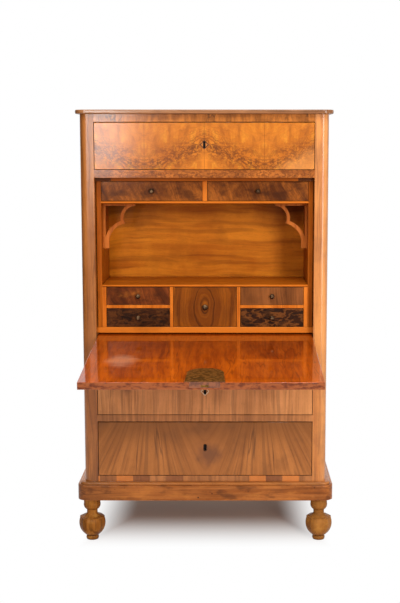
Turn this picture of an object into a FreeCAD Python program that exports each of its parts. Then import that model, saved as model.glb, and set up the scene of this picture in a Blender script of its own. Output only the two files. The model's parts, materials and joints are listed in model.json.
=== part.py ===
import FreeCAD, Part
import math
import os
import re

import Sketcher

# A fall-front escritoire, in millimetres, with +Z up and the front towards -Y.
# The origin is on the floor, under the middle of the space the open desk takes up.
# It rests with the fall let down and every drawer shut.

doc = FreeCAD.newDocument("escritoire")

# Driving dimensions: name, value, what it measures
SIZES = [
    ("carcass_width", 900, "outside width across the corner posts"),
    ("carcass_depth", 440, "front face of the posts to the back"),
    ("post_width", 51, "width of a corner post"),
    ("post_corner_radius", 24, "rounded outer edge of a post"),
    ("side_thickness", 22, "side panel"),
    ("back_thickness", 10, "back panel"),
    ("top_thickness", 15, "top board"),
    ("top_overhang", 16, "top board beyond the posts"),
    ("top_corner_radius", 34, "rounded front corner of the top board"),
    ("top_edge_radius", 4, "eased edge of the top board"),
    ("frieze_height", 28, "rail above the top drawer"),
    ("top_opening_height", 172, "opening for the top drawer"),
    ("upper_rail_height", 28, "rail under the top drawer"),
    ("fall_opening_height", 671, "opening that the fall closes"),
    ("fall_rail_height", 34, "rail under the fall"),
    ("middle_opening_height", 171, "opening for the middle drawer"),
    ("middle_rail_height", 24, "rail between the lower drawers"),
    ("bottom_opening_height", 207, "opening for the bottom drawer"),
    ("bottom_rail_height", 22, "rail under the bottom drawer"),
    ("rail_depth", 60, "front to back of every rail"),
    ("dust_thickness", 10, "board between two drawers"),
    ("bottom_thickness", 18, "bottom board of the case"),
    ("guide_height", 40, "strip that guides a long drawer's side"),
    ("plinth_height", 66, "plinth under the case"),
    ("plinth_overhang", 26, "plinth beyond the posts"),
    ("plinth_thickness", 40, "plinth board, front to back"),
    ("plinth_corner_radius", 38, "rounded front corner of the plinth"),
    ("plinth_edge_radius", 4, "rounded upper edge of the plinth"),
    ("moulding_height", 9, "moulding on top of the plinth"),
    ("moulding_inset", 10, "that moulding behind the plinth's face"),
    ("moulding_edge_radius", 6, "rounded upper edge of the moulding"),
    ("block_size", 60, "corner block inside the plinth"),
    ("foot_height", 162, "floor to plinth"),
    ("foot_side_inset", 23, "front foot's axis inside the case's side"),
    ("foot_front_inset", 25, "front foot's axis behind the posts' front"),
    ("back_foot_width", 26, "back foot under the plinth"),
    ("back_foot_tip", 22, "back foot on the floor, sideways"),
    ("back_foot_inset", 6, "back foot in front of the back"),
    ("foot_pad_radius", 21.5, "ring that stands on the floor"),
    ("foot_pad_height", 15, "height of that ring"),
    ("foot_base_radius", 20, "bowl where it leaves the ring"),
    ("foot_bowl_radius", 46, "bowl at its rim"),
    ("foot_bowl_sweep", 56, "radius of the bowl's side curve"),
    ("foot_rim_band", 5, "upright band at the rim"),
    ("foot_shoulder_height", 14, "rim band to the neck"),
    ("foot_shoulder_sweep", 28, "radius of the hollow shoulder"),
    ("foot_neck_radius", 20, "neck above the shoulder"),
    ("foot_neck_height", 14, "straight part of the neck"),
    ("foot_bun_base", 21.5, "radius of the bun where it leaves the neck"),
    ("foot_bun_height", 24, "bun between the neck and the collar"),
    ("foot_bun_sweep", 22, "radius of the bun's side curve"),
    ("foot_top_radius", 31, "collar under the plinth"),
    ("foot_collar_height", 22, "height of that collar"),
    ("facet_depth", 3, "how deep a flat is carved at the rim"),
    ("fall_thickness", 25, "fall board"),
    ("fall_gap", 1.5, "play between the fall and its opening"),
    ("fall_pivot_height", 76, "pivot above the rail under the fall"),
    ("fall_droop", 5.3, "degrees below level when the fall is open"),
    ("pin_radius", 5, "pivot pin"),
    ("pin_reach", 10, "pin beyond the fall's edge"),
    ("pin_root", 30, "pin inside the fall"),
    ("pin_play", 0.05, "pin to its socket and its hole in the fall, on the radius"),
    ("bore_play", 0.1, "pin to the blind bore in the post, on the radius"),
    ("socket_thickness", 3, "iron plate that takes a pin"),
    ("socket_width", 20, "that plate, front to back"),
    ("socket_height", 48, "that plate, upwards"),
    ("stop_play", 0.3, "fall to whatever stops it"),
    ("stop_pad_length", 58, "pad at each end of the stop strip"),
    ("stop_pad_height", 8, "height of that pad"),
    ("inner_side_thickness", 16.5, "false side of the desk"),
    ("inner_side_gap", 2.5, "false side behind the post's inner face"),
    ("inner_top_thickness", 13, "ceiling of the desk"),
    ("inner_floor_thickness", 23.5, "floor of the desk"),
    ("inner_back_thickness", 8, "back of the desk"),
    ("nest_depth", 270, "drawer nest, front to back"),
    ("upper_drawer_height", 72.5, "opening for an upper small drawer"),
    ("upper_divider_thickness", 18, "upright between the upper small drawers"),
    ("upper_shelf_thickness", 10.5, "shelf over the niche"),
    ("niche_floor_thickness", 10, "floor of the niche"),
    ("nest_upper_height", 67, "opening for an upper nest drawer"),
    ("nest_lower_height", 70, "opening for a lower nest drawer"),
    ("nest_shelf_thickness", 12, "shelf between nest drawers"),
    ("nest_side_thickness", 15, "outer upright of the nest"),
    ("nest_partition_thickness", 13, "inner upright of the nest"),
    ("nest_center_width", 235, "opening for the middle nest drawer"),
    ("bracket_thickness", 10, "corner bracket, front to back"),
    ("bracket_setback", 60, "bracket behind the shelf's front edge"),
    ("bracket_reach", 120, "bracket along the shelf"),
    ("bracket_drop", 168, "bracket down the false side"),
    ("bracket_foot_width", 22, "lower end of the bracket"),
    ("bracket_foot_height", 34, "straight part at that end"),
    ("bracket_cusp_out", 80.5, "point of the bracket from the side"),
    ("bracket_cusp_down", 75.5, "point of the bracket from the shelf"),
    ("bracket_upper_sweep", 46, "radius of the upper hollow"),
    ("bracket_lower_sweep", 76, "radius of the lower hollow"),
    ("bracket_arm", 10, "strip along the shelf"),
    ("bracket_leg", 9.5, "strip along the false side"),
    ("bracket_web", 12, "curved strip between the hollows and the window"),
    ("drawer_front_thickness", 22, "long drawer's front"),
    ("drawer_side_gap", 2, "front to the post"),
    ("drawer_top_gap", 3, "front to the rail above"),
    ("drawer_foot_gap", 2, "front to the rail below"),
    ("drawer_run_gap", 0.3, "drawer's sides above what they run on"),
    ("drawer_length", 390, "long drawer, front to back"),
    ("drawer_side_thickness", 12, "long drawer's side and back"),
    ("drawer_side_drop", 6, "side's upper edge below the front's"),
    ("drawer_bottom_thickness", 8, "long drawer's bottom"),
    ("drawer_bottom_lift", 6, "that bottom above the side's lower edge"),
    ("key_rise", 5, "keyhole above the middle of a front"),
    ("keyhole_width", 9, "keyhole"),
    ("keyhole_height", 24, "keyhole"),
    ("keyhole_flatness", 1.2, "radius of a keyhole's ends, as a multiple of half its width"),
    ("escutcheon_width", 36, "lozenge round a keyhole"),
    ("escutcheon_height", 36, "lozenge round a keyhole"),
    ("escutcheon_thickness", 1.2, "plate round a keyhole"),
    ("lining_width", 2, "plain lining round the bottom keyhole"),
    ("lock_width", 76, "drawer lock"),
    ("lock_depth", 12, "drawer lock, front to back"),
    ("lock_below_key", 24, "drawer lock below the keyhole"),
    ("bolt_width", 26, "lock bolt"),
    ("bolt_thickness", 6, "lock bolt"),
    ("bolt_length", 34, "lock bolt"),
    ("bolt_throw", 10, "how far a bolt slides out"),
    ("bolt_play", 0.3, "bolt to its slot, each side"),
    ("mortise_play", 1, "bolt to the hole in the rail, each side"),
    ("fall_plate_width", 132, "lock plate on the fall, at the fall's edge"),
    ("fall_plate_waist", 122, "lock plate where its shoulders begin"),
    ("fall_plate_crown", 40, "straight upper end of the lock plate"),
    ("fall_plate_height", 160, "lock plate on the fall"),
    ("fall_plate_shoulder", 92, "fall's edge to the plate's shoulders"),
    ("fall_plate_sweep", 62, "radius of the plate's rounded shoulders"),
    ("fall_plate_thickness", 2, "lock plate on the fall"),
    ("fall_lock_offset", 12, "fall's lock to the right of the middle"),
    ("fall_lock_width", 100, "lock case inside the fall"),
    ("fall_lock_height", 110, "lock case inside the fall"),
    ("fall_key_drop", 70, "keyhole below the fall's edge"),
    ("small_front_thickness", 12, "small drawer's front"),
    ("small_inset", 1.5, "small drawer's front behind the shelf edges"),
    ("small_gap", 1, "small drawer to its opening, each side"),
    ("small_top_gap", 1.5, "small drawer to the board above"),
    ("small_length", 255, "small drawer, front to back"),
    ("small_side_thickness", 7, "small drawer's side and back"),
    ("small_side_drop", 4, "side's upper edge below the front's"),
    ("small_bottom_thickness", 5, "small drawer's bottom"),
    ("knob_radius", 9, "knob of a small drawer"),
    ("center_knob_radius", 11, "knob of the middle nest drawer"),
    ("knob_length", 17, "knob in front of its drawer"),
    ("knob_clearance", 3, "drawer fronts behind the shut fall, beyond a knob"),
    ("knob_stem_radius", 4.5, "waist of a knob"),
    ("knob_collar_radius", 7, "knob where it meets the drawer"),
    ("knob_collar_length", 3, "that collar, front to back"),
    ("knob_head_length", 9, "round head of a knob"),
]

# Places that follow from the driving dimensions
PLACES = [
    ("half_width", "carcass_width / 2"),
    ("opening_half", "half_width - post_width"),
    ("side_inner", "half_width - side_thickness"),
    ("fall_tail", "sqrt((fall_pivot_height - fall_gap / 2) ^ 2 - (fall_thickness / 2) ^ 2)"),
    ("fall_upper", "fall_opening_height - fall_pivot_height - fall_gap"),
    ("fall_half", "opening_half - fall_gap"),
    ("fall_inner", "fall_thickness / 2"),
    ("front_y", "(fall_upper - fall_inner - carcass_depth) / 2"),
    ("back_y", "front_y + carcass_depth"),
    ("rear_y", "back_y - back_thickness"),
    ("rail_y", "front_y + rail_depth"),
    ("desk_y", "front_y + fall_thickness + knob_length + knob_clearance"),
    ("nest_back_y", "desk_y + nest_depth"),
    ("z_case", "foot_height + plinth_height"),
    ("z_bottom_drawer", "z_case + bottom_rail_height"),
    ("z_middle_rail", "z_bottom_drawer + bottom_opening_height"),
    ("z_middle_drawer", "z_middle_rail + middle_rail_height"),
    ("z_fall_rail", "z_middle_drawer + middle_opening_height"),
    ("z_fall", "z_fall_rail + fall_rail_height"),
    ("z_upper_rail", "z_fall + fall_opening_height"),
    ("z_top_drawer", "z_upper_rail + upper_rail_height"),
    ("z_frieze", "z_top_drawer + top_opening_height"),
    ("z_top", "z_frieze + frieze_height"),
    ("pivot_y", "front_y + fall_inner"),
    ("pivot_z", "z_fall + fall_pivot_height"),
    ("tail_top", "pivot_z + fall_inner * cos(fall_droop) + fall_tail * sin(fall_droop)"),
    ("z_desk_under", "tail_top + stop_play"),
    ("z_desk_floor", "z_desk_under + inner_floor_thickness"),
    ("z_nest_shelf", "z_desk_floor + nest_lower_height"),
    ("z_nest_upper", "z_nest_shelf + nest_shelf_thickness"),
    ("z_niche_floor", "z_nest_upper + nest_upper_height"),
    ("z_niche", "z_niche_floor + niche_floor_thickness"),
    ("z_inner_top", "z_upper_rail - inner_top_thickness"),
    ("z_upper_drawers", "z_inner_top - upper_drawer_height"),
    ("z_upper_shelf", "z_upper_drawers - upper_shelf_thickness"),
    ("inner_outer", "opening_half - inner_side_gap"),
    ("inner_half", "inner_outer - inner_side_thickness"),
    ("nest_half", "inner_half - nest_side_thickness"),
    ("center_half", "nest_center_width / 2"),
    ("center_outer", "center_half + nest_partition_thickness"),
    ("divider_half", "upper_divider_thickness / 2"),
    ("plinth_half", "half_width + plinth_overhang"),
    ("plinth_inner", "plinth_half - plinth_thickness"),
    ("plinth_front_y", "front_y - plinth_overhang"),
    ("plinth_rear_y", "plinth_front_y + plinth_thickness"),
    ("z_moulding", "z_case - moulding_height"),
    ("moulding_half", "plinth_half - moulding_inset"),
    ("moulding_front_y", "plinth_front_y + moulding_inset"),
    ("moulding_corner_radius", "plinth_corner_radius - moulding_inset"),
    ("top_half", "half_width + top_overhang"),
    ("top_front_y", "front_y - top_overhang"),
    ("stop_y", "front_y + fall_thickness + stop_play"),
    ("bolt_half", "bolt_width / 2"),
    ("keyhole_half", "keyhole_width / 2"),
    ("keyhole_end", "keyhole_half * keyhole_flatness"),
    ("keyhole_straight", "keyhole_height / 2 - keyhole_half / 2"),
    ("escutcheon_half_width", "escutcheon_width / 2"),
    ("escutcheon_half_height", "escutcheon_height / 2"),
    ("fall_plate_half", "fall_plate_width / 2"),
    ("plate_waist_half", "fall_plate_waist / 2"),
    ("plate_crown_half", "fall_plate_crown / 2"),
    ("z_foot_bun", "foot_height - foot_collar_height - foot_bun_height"),
    ("z_foot_shoulder", "z_foot_bun - foot_neck_height"),
    ("z_foot_band", "z_foot_shoulder - foot_shoulder_height"),
    ("z_foot_rim", "z_foot_band - foot_rim_band"),
    ("facet_radius", "foot_bowl_radius - facet_depth"),
    ("back_foot_half", "back_foot_width / 2"),
    ("back_foot_tip_half", "back_foot_tip / 2"),
    ("window_reach", "bracket_reach - bracket_web * 2.75"),
    ("window_cusp_out", "bracket_cusp_out - bracket_web * 1.2"),
    ("window_cusp_down", "bracket_cusp_down - bracket_web * 0.7"),
    ("window_drop", "bracket_drop - bracket_foot_height - bracket_web * 0.7"),
]


def make_sheet(name, rows):
    sheet = doc.addObject("Spreadsheet::Sheet", name)
    for row, (alias, text, note) in enumerate(rows, 1):
        sheet.set(f"A{row}", note)
        sheet.set(f"B{row}", text)
        sheet.setAlias(f"B{row}", alias)
    doc.recompute()
    return sheet


OWNER = {alias: "Sizes" for alias, value, note in SIZES}


def bound(text):
    """The expression with each named value led back to its sheet."""
    def led_back(word):
        name = word[0]
        return f"{OWNER[name]}.{name}" if name in OWNER else name

    return re.sub(r"[a-z]\w*", led_back, text)


sizes = make_sheet("Sizes", [(alias, str(value), note) for alias, value, note in SIZES])
place_rows = []
for alias, formula in PLACES:
    place_rows.append((alias, "=" + re.sub(r"Places\.", "", bound(formula)), formula))
    OWNER[alias] = "Places"
places = make_sheet("Places", place_rows)


def amount(text):
    """The number that a sum of named values and plain numbers comes to."""
    total = 0.0
    for sign, word in re.findall(r"([+-]?)\s*([a-z]\w*|[\d.]+)", text):
        sheet = {"Sizes": sizes, "Places": places}.get(OWNER.get(word))
        number = float(sheet.get(word)) if sheet else float(word)
        total += -number if sign == "-" else number
    return total


def bind(thing, **expressions):
    for name, text in expressions.items():
        thing.setExpression(name.replace("__", "."), bound(text))


def put(thing, x="0", y="0", z="0"):
    bind(thing, Placement__Base__x=x, Placement__Base__y=y, Placement__Base__z=z)
    return thing


def plank(label, x, y, z):
    """A straight board. Each of x, y and z is a pair of expressions, low and high."""
    board = doc.addObject("Part::Box", label)
    bind(board, Length=f"({x[1]}) - ({x[0]})", Width=f"({y[1]}) - ({y[0]})", Height=f"({z[1]}) - ({z[0]})")
    return put(board, x[0], y[0], z[0])


def group(label, members):
    compound = doc.addObject("Part::Compound", label)
    compound.Links = members
    return compound


def cut(label, base, tools):
    result = doc.addObject("Part::Cut", label)
    result.Base = base
    result.Tool = tools[0] if len(tools) == 1 else group(label + "_cuts", tools)
    return result


def both(half):
    return (f"-({half})", half)


def right_of(side, low, high):
    """The pair from low to high on the right, or mirrored to the left."""
    return (low, high) if side > 0 else (f"-({high})", f"-({low})")


def draw(sketch, vertices):
    """A closed outline through vertices (x, y) or (x, y, radius, turn).

    With a radius, the edge that leaves the vertex is an arc: turn is 1 where it bends left
    and -1 where it bends right.
    """
    ends = []
    for index, vertex in enumerate(vertices):
        following = vertices[(index + 1) % len(vertices)]
        start = FreeCAD.Vector(amount(vertex[0]), amount(vertex[1]), 0)
        end = FreeCAD.Vector(amount(following[0]), amount(following[1]), 0)
        if len(vertex) == 2:
            edge = sketch.addGeometry(Part.LineSegment(start, end), False)
            ends.append((edge, 1, 2))
            continue
        radius, turn = amount(vertex[2]), vertex[3]
        chord = end - start
        rise = math.sqrt(max(radius ** 2 - (chord.Length / 2) ** 2, 0))
        left = FreeCAD.Vector(-chord.y, chord.x, 0).normalize()
        center = (start + end) * 0.5 + left * rise * turn
        first, last = (start, end) if turn > 0 else (end, start)
        angles = [math.atan2(point.y - center.y, point.x - center.x) for point in (first, last)]
        circle = Part.Circle(center, FreeCAD.Vector(0, 0, 1), radius)
        edge = sketch.addGeometry(Part.ArcOfCircle(circle, angles[0], angles[1]), False)
        ends.append((edge, 1, 2) if turn > 0 else (edge, 2, 1))
    for index, (edge, _, finish) in enumerate(ends):
        follower, follower_begin, _ = ends[(index + 1) % len(ends)]
        sketch.addConstraint(Sketcher.Constraint("Coincident", edge, finish, follower, follower_begin))
    for vertex, (edge, begin, _) in zip(vertices, ends):
        for kind, text in (("DistanceX", vertex[0]), ("DistanceY", vertex[1])):
            fixed = sketch.addConstraint(Sketcher.Constraint(kind, -1, 1, edge, begin, amount(text)))
            sketch.setExpression(f"Constraints[{fixed}]", bound(text))
        if len(vertex) > 2:
            fixed = sketch.addConstraint(Sketcher.Constraint("Radius", edge, amount(vertex[2])))
            sketch.setExpression(f"Constraints[{fixed}]", bound(vertex[2]))


def sketch_on(body, role, outlines):
    sketch = body.newObject("Sketcher::SketchObject", body.Name + "_outline")
    plane = next(feature for feature in body.Origin.OriginFeatures if feature.Role == role)
    sketch.AttachmentSupport = [(plane, "")]
    sketch.MapMode = "FlatFace"
    for vertices in outlines:
        draw(sketch, vertices)
    return sketch


def padded(label, role, outlines, length, reverse=False):
    """A flat piece: outlines on one of its own planes, given a thickness."""
    body = doc.addObject("PartDesign::Body", label)
    pad = body.newObject("PartDesign::Pad", label + "_pad")
    pad.Profile = sketch_on(body, role, outlines)
    pad.Reversed = reverse
    bind(pad, Length=length)
    return body


def turned(label, role, outline):
    """A round piece: a half outline turned about the upright axis of its sketch."""
    body = doc.addObject("PartDesign::Body", label)
    sketch = sketch_on(body, role, [outline])
    turning = body.newObject("PartDesign::Revolution", label + "_turning")
    turning.Profile = sketch
    turning.ReferenceAxis = (sketch, ["V_Axis"])
    turning.Angle = 360
    return body


def round_edges(body, radius, chosen):
    """Round the edges of the body that the test picks by their middle points."""
    doc.recompute()
    base = body.Tip
    picked = []
    for number, edge in enumerate(base.Shape.Edges, 1):
        middle = edge.valueAt((edge.FirstParameter + edge.LastParameter) / 2)
        if chosen(middle):
            picked.append(f"Edge{number}")
    rounding = body.newObject("PartDesign::Fillet", body.Name + "_rounding")
    rounding.Base = (base, picked)
    bind(rounding, Radius=radius)
    return body


def same_height(height, other):
    """Whether two heights are the same, but for rounding."""
    return math.isclose(height, other, abs_tol=1e-6)


nodes = []


def node(piece):
    nodes.append(piece)
    return piece


# Case: top board, sides, posts, back

BEHIND_RAILS = ("rail_y", "rear_y")
RAIL_Y = ("front_y", "rail_y")
ACROSS = both("side_inner")
BETWEEN_POSTS = both("opening_half")


def top_board():
    outline = [
        ("top_half", "back_y"),
        ("-top_half", "back_y"),
        ("-top_half", "top_front_y + top_corner_radius", "top_corner_radius", 1),
        ("-top_half + top_corner_radius", "top_front_y"),
        ("top_half - top_corner_radius", "top_front_y", "top_corner_radius", 1),
        ("top_half", "top_front_y + top_corner_radius"),
    ]
    board = padded("top_board", "XY_Plane", [outline], "top_thickness")
    back = amount("back_y")
    upper = amount("top_thickness")

    def showing(middle):
        return middle.y < back - 1 and (same_height(middle.z, 0) or same_height(middle.z, upper))

    round_edges(board, "top_edge_radius", showing)
    return put(board, z="z_top")


def corner_post(label, side):
    """A corner post with a rounded outer edge, a let-in socket plate and a bore for the pivot pin."""
    sign, inward = ("", "-") if side > 0 else ("-", "+")
    outline = [
        (sign + "opening_half", "front_y"),
        (f"{sign}half_width {inward} post_corner_radius", "front_y", "post_corner_radius", side),
        (sign + "half_width", "front_y + post_corner_radius"),
        (sign + "half_width", "desk_y"),
        (sign + "opening_half", "desk_y"),
    ]
    blank = padded(label + "_blank", "XY_Plane", [outline], "z_top - z_case")
    put(blank, z="z_case")
    recess = plank(label + "_recess", *socket_space(side))
    bore = pin_rod(label + "_bore", side, "opening_half", "pin_reach + fall_gap", "pin_radius + bore_play")
    return cut(label, blank, [recess, bore])


def socket_space(side):
    return (
        right_of(side, "opening_half", "opening_half + socket_thickness"),
        ("pivot_y - socket_width / 2", "pivot_y + socket_width / 2"),
        ("pivot_z - socket_height / 2", "pivot_z + socket_height / 2"),
    )


def pin_rod(label, side, start, length, radius):
    """A round bar along the pivot axis, from start outwards."""
    rod = doc.addObject("Part::Cylinder", label)
    rod.Placement.Rotation = FreeCAD.Rotation(FreeCAD.Vector(0, 1, 0), 90 * side)
    bind(rod, Radius=radius, Height=length)
    return put(rod, start if side > 0 else f"-({start})", "pivot_y", "pivot_z")


def socket_plate(label, side):
    plate = plank(label + "_plate", *socket_space(side))
    hole = pin_rod(label + "_hole", side, "opening_half", "socket_thickness", "pin_radius + pin_play")
    return cut(label, plate, [hole])


node(top_board())
for name, side in (("left", -1), ("right", 1)):
    side_x = right_of(side, "side_inner", "half_width")
    node(plank(name + "_side", side_x, ("desk_y", "back_y"), ("z_case", "z_top")))
    node(corner_post(name + "_post", side))
node(plank("back_panel", ACROSS, ("rear_y", "back_y"), ("z_case", "z_top")))
node(group("pivot_sockets", [socket_plate("left_socket", -1), socket_plate("right_socket", 1)]))


# Case: rails, boards and guides

LOCK_Y = ("front_y + drawer_front_thickness - lock_depth", "front_y + drawer_front_thickness")
BOLT_MIDDLE_Y = "front_y + drawer_front_thickness - lock_depth / 2"


def slot_y(middle, play):
    return (f"{middle} - bolt_thickness / 2 - {play}", f"{middle} + bolt_thickness / 2 + {play}")


def slot_x(middle, play):
    return (f"{middle} - bolt_half - {play}", f"{middle} + bolt_half + {play}")


def rail(label, low, high):
    return plank(label, BETWEEN_POSTS, RAIL_Y, (low, high))


def lock_rail(label, low, high, middle_x, middle_y, gap):
    """A rail with a blind hole underneath for the bolt of the lock below it."""
    blank = rail(label + "_blank", low, high)
    depth = f"{low} + bolt_throw - {gap} + mortise_play"
    across, through = slot_x(middle_x, "mortise_play"), slot_y(middle_y, "mortise_play")
    hole = plank(label + "_mortise", across, through, (low, depth))
    return cut(label, blank, [hole])


node(lock_rail("frieze_rail", "z_frieze", "z_top", "0", BOLT_MIDDLE_Y, "drawer_top_gap"))
node(lock_rail("upper_rail", "z_upper_rail", "z_top_drawer", "fall_lock_offset", "pivot_y", "fall_gap"))
node(lock_rail("fall_rail", "z_fall_rail", "z_fall", "0", BOLT_MIDDLE_Y, "drawer_top_gap"))
node(lock_rail("middle_rail", "z_middle_rail", "z_middle_drawer", "0", BOLT_MIDDLE_Y, "drawer_top_gap"))
node(rail("bottom_rail", "z_case", "z_bottom_drawer"))
node(plank("bottom_board", ACROSS, BEHIND_RAILS, ("z_bottom_drawer - bottom_thickness", "z_bottom_drawer")))
node(group("dust_boards", [
    plank("top_dust_board", ACROSS, BEHIND_RAILS, ("z_top_drawer - dust_thickness", "z_top_drawer")),
    plank("desk_dust_board", ACROSS, BEHIND_RAILS, ("z_fall_rail", "z_fall_rail + dust_thickness")),
    plank("middle_dust_board", ACROSS, BEHIND_RAILS, ("z_middle_drawer - dust_thickness", "z_middle_drawer")),
]))
node(group("drawer_guides", [
    plank(f"{name}_{level}_guide", right_of(side, "opening_half", "side_inner"), ("desk_y", "rear_y"),
          (f"z_{level}_drawer", f"z_{level}_drawer + guide_height"))
    for level in ("bottom", "middle", "top")
    for name, side in (("left", -1), ("right", 1))
]))


# Plinth and feet

PLINTH_Z = ("foot_height", "z_case")


def front_strip(label, low, high, half, front_y, corner, edge):
    """A strip across the front with rounded corners and a rounded upper edge."""
    outline = [
        (half, "plinth_rear_y"),
        (f"-{half}", "plinth_rear_y"),
        (f"-{half}", f"{front_y} + {corner}", corner, 1),
        (f"-{half} + {corner}", front_y),
        (f"{half} - {corner}", front_y, corner, 1),
        (half, f"{front_y} + {corner}"),
    ]
    strip = padded(label, "XY_Plane", [outline], f"{high} - {low}")
    rear = amount("plinth_rear_y")
    upper = amount(high) - amount(low)

    def showing(middle):
        return middle.y < rear - 1 and same_height(middle.z, upper)

    round_edges(strip, edge, showing)
    return put(strip, z=low)


def side_strip(label, side, low, high, half, edge):
    """A strip along a side, drawn across its section so that its upper edge is rounded like the front's."""
    sign, inward = ("", "-") if side > 0 else ("-", "+")
    outline = [
        (sign + "plinth_inner", low),
        (sign + half, low),
        (sign + half, f"{high} - {edge}", edge, side),
        (f"{sign}{half} {inward} {edge}", high),
        (sign + "plinth_inner", high),
    ]
    strip = padded(label, "XZ_Plane", [outline], "back_y - plinth_rear_y", reverse=True)
    return put(strip, y="plinth_rear_y")


def plinth_front():
    board = front_strip("plinth_board", "foot_height", "z_moulding", "plinth_half", "plinth_front_y",
                        "plinth_corner_radius", "plinth_edge_radius")
    moulding = front_strip("plinth_moulding", "z_moulding", "z_case", "moulding_half", "moulding_front_y",
                           "moulding_corner_radius", "moulding_edge_radius")
    return group("plinth_front", [board, moulding])


def plinth_frame():
    pieces = [plank("plinth_back", both("plinth_inner"), ("back_y - plinth_thickness", "back_y"), PLINTH_Z)]
    for name, side in (("left", -1), ("right", 1)):
        pieces.append(side_strip(name + "_plinth_side", side, "foot_height", "z_moulding", "plinth_half",
                                 "plinth_edge_radius"))
        pieces.append(side_strip(name + "_moulding", side, "z_moulding", "z_case", "moulding_half",
                                 "moulding_edge_radius"))
        inside = right_of(side, "plinth_inner - block_size", "plinth_inner")
        front = ("plinth_rear_y", "plinth_rear_y + block_size")
        back = ("back_y - plinth_thickness - block_size", "back_y - plinth_thickness")
        pieces.append(plank(name + "_front_block", inside, front, PLINTH_Z))
        pieces.append(plank(name + "_back_block", inside, back, PLINTH_Z))
    return group("plinth_frame", pieces)


def front_foot(label, side):
    """A turned foot: ring, bowl carved with six flats, hollow shoulder, neck and bun."""
    outline = [
        ("0", "0"),
        ("foot_pad_radius", "0", "foot_pad_height", 1),
        ("foot_pad_radius", "foot_pad_height"),
        ("foot_base_radius", "foot_pad_height", "foot_bowl_sweep", 1),
        ("foot_bowl_radius", "z_foot_rim"),
        ("foot_bowl_radius", "z_foot_band", "foot_shoulder_sweep", -1),
        ("foot_neck_radius", "z_foot_shoulder"),
        ("foot_neck_radius", "z_foot_bun"),
        ("foot_bun_base", "z_foot_bun", "foot_bun_sweep", 1),
        ("foot_top_radius", "foot_height - foot_collar_height"),
        ("foot_top_radius", "foot_height"),
        ("0", "foot_height"),
    ]
    body = turned(label, "XZ_Plane", outline)
    beyond = "foot_bowl_radius + foot_bowl_sweep"
    flat = [
        ("foot_base_radius", "foot_pad_height", "foot_bowl_sweep", 1),
        ("facet_radius", "z_foot_rim"),
        ("facet_radius", "z_foot_shoulder"),
        (beyond, "z_foot_shoulder"),
        (beyond, "foot_pad_height"),
    ]
    carving = body.newObject("PartDesign::Pocket", label + "_flat")
    carving.Profile = sketch_on(body, "YZ_Plane", [flat])
    carving.Type = "ThroughAll"
    carving.Midplane = True
    flats = body.newObject("PartDesign::PolarPattern", label + "_flats")
    flats.Originals = [carving]
    upright = next(feature for feature in body.Origin.OriginFeatures if feature.Role == "Z_Axis")
    flats.Axis = (upright, [""])
    flats.Angle = 360
    flats.Occurrences = 6
    body.Tip = flats
    inset = "half_width - foot_side_inset"
    return put(body, inset if side > 0 else f"-({inset})", "front_y + foot_front_inset")


def back_foot(label, side):
    """A plain post, tapered sideways, under a back corner of the plinth."""
    outline = [
        ("-back_foot_tip_half", "0"),
        ("back_foot_tip_half", "0"),
        ("back_foot_half", "foot_height"),
        ("-back_foot_half", "foot_height"),
    ]
    post = padded(label, "XZ_Plane", [outline], "back_foot_width")
    middle = "plinth_half - back_foot_half"
    return put(post, middle if side > 0 else f"-({middle})", "back_y - back_foot_inset")


node(plinth_front())
node(plinth_frame())
node(front_foot("front_left_foot", -1))
node(front_foot("front_right_foot", 1))
node(group("back_feet", [back_foot("back_left_foot", -1), back_foot("back_right_foot", 1)]))


# Desk interior

NEST_Y = ("desk_y", "nest_back_y")
NEST_Z = ("z_desk_floor", "z_niche_floor")
UPPER_Z = ("z_upper_drawers", "z_inner_top")
INSIDE_Z = ("z_desk_floor", "z_inner_top")


def partitions():
    pieces = [plank("upper_divider", both("divider_half"), NEST_Y, UPPER_Z)]
    for name, side in (("left", -1), ("right", 1)):
        outer = right_of(side, "nest_half", "inner_half")
        inner = right_of(side, "center_half", "center_outer")
        between = right_of(side, "center_outer", "nest_half")
        pieces.append(plank(name + "_nest_side", outer, NEST_Y, NEST_Z))
        pieces.append(plank(name + "_nest_partition", inner, NEST_Y, NEST_Z))
        pieces.append(plank(name + "_nest_shelf", between, NEST_Y, ("z_nest_shelf", "z_nest_upper")))
    return group("nest_partitions", pieces)


def bracket(label, side):
    """A pierced bracket in the corner of shelf and false side, drawn from that corner outwards and down."""
    sign = "-" if side > 0 else ""
    hollow = -side
    rim = [
        ("0", "0"),
        (sign + "bracket_reach", "0"),
        (sign + "bracket_reach", "-bracket_arm", "bracket_upper_sweep", hollow),
        (sign + "bracket_cusp_out", "-bracket_cusp_down", "bracket_lower_sweep", hollow),
        (sign + "bracket_foot_width", "-bracket_drop + bracket_foot_height"),
        (sign + "bracket_foot_width", "-bracket_drop"),
        ("0", "-bracket_drop"),
    ]
    window = [
        (sign + "bracket_leg", "-bracket_arm"),
        (sign + "window_reach", "-bracket_arm", "bracket_upper_sweep + bracket_web", hollow),
        (sign + "window_cusp_out", "-window_cusp_down", "bracket_lower_sweep + bracket_web", hollow),
        (sign + "bracket_leg", "-window_drop"),
    ]
    body = padded(label, "XZ_Plane", [rim, window], "bracket_thickness", reverse=True)
    corner = "inner_half" if side > 0 else "-inner_half"
    return put(body, corner, "desk_y + bracket_setback", "z_upper_shelf")


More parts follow.
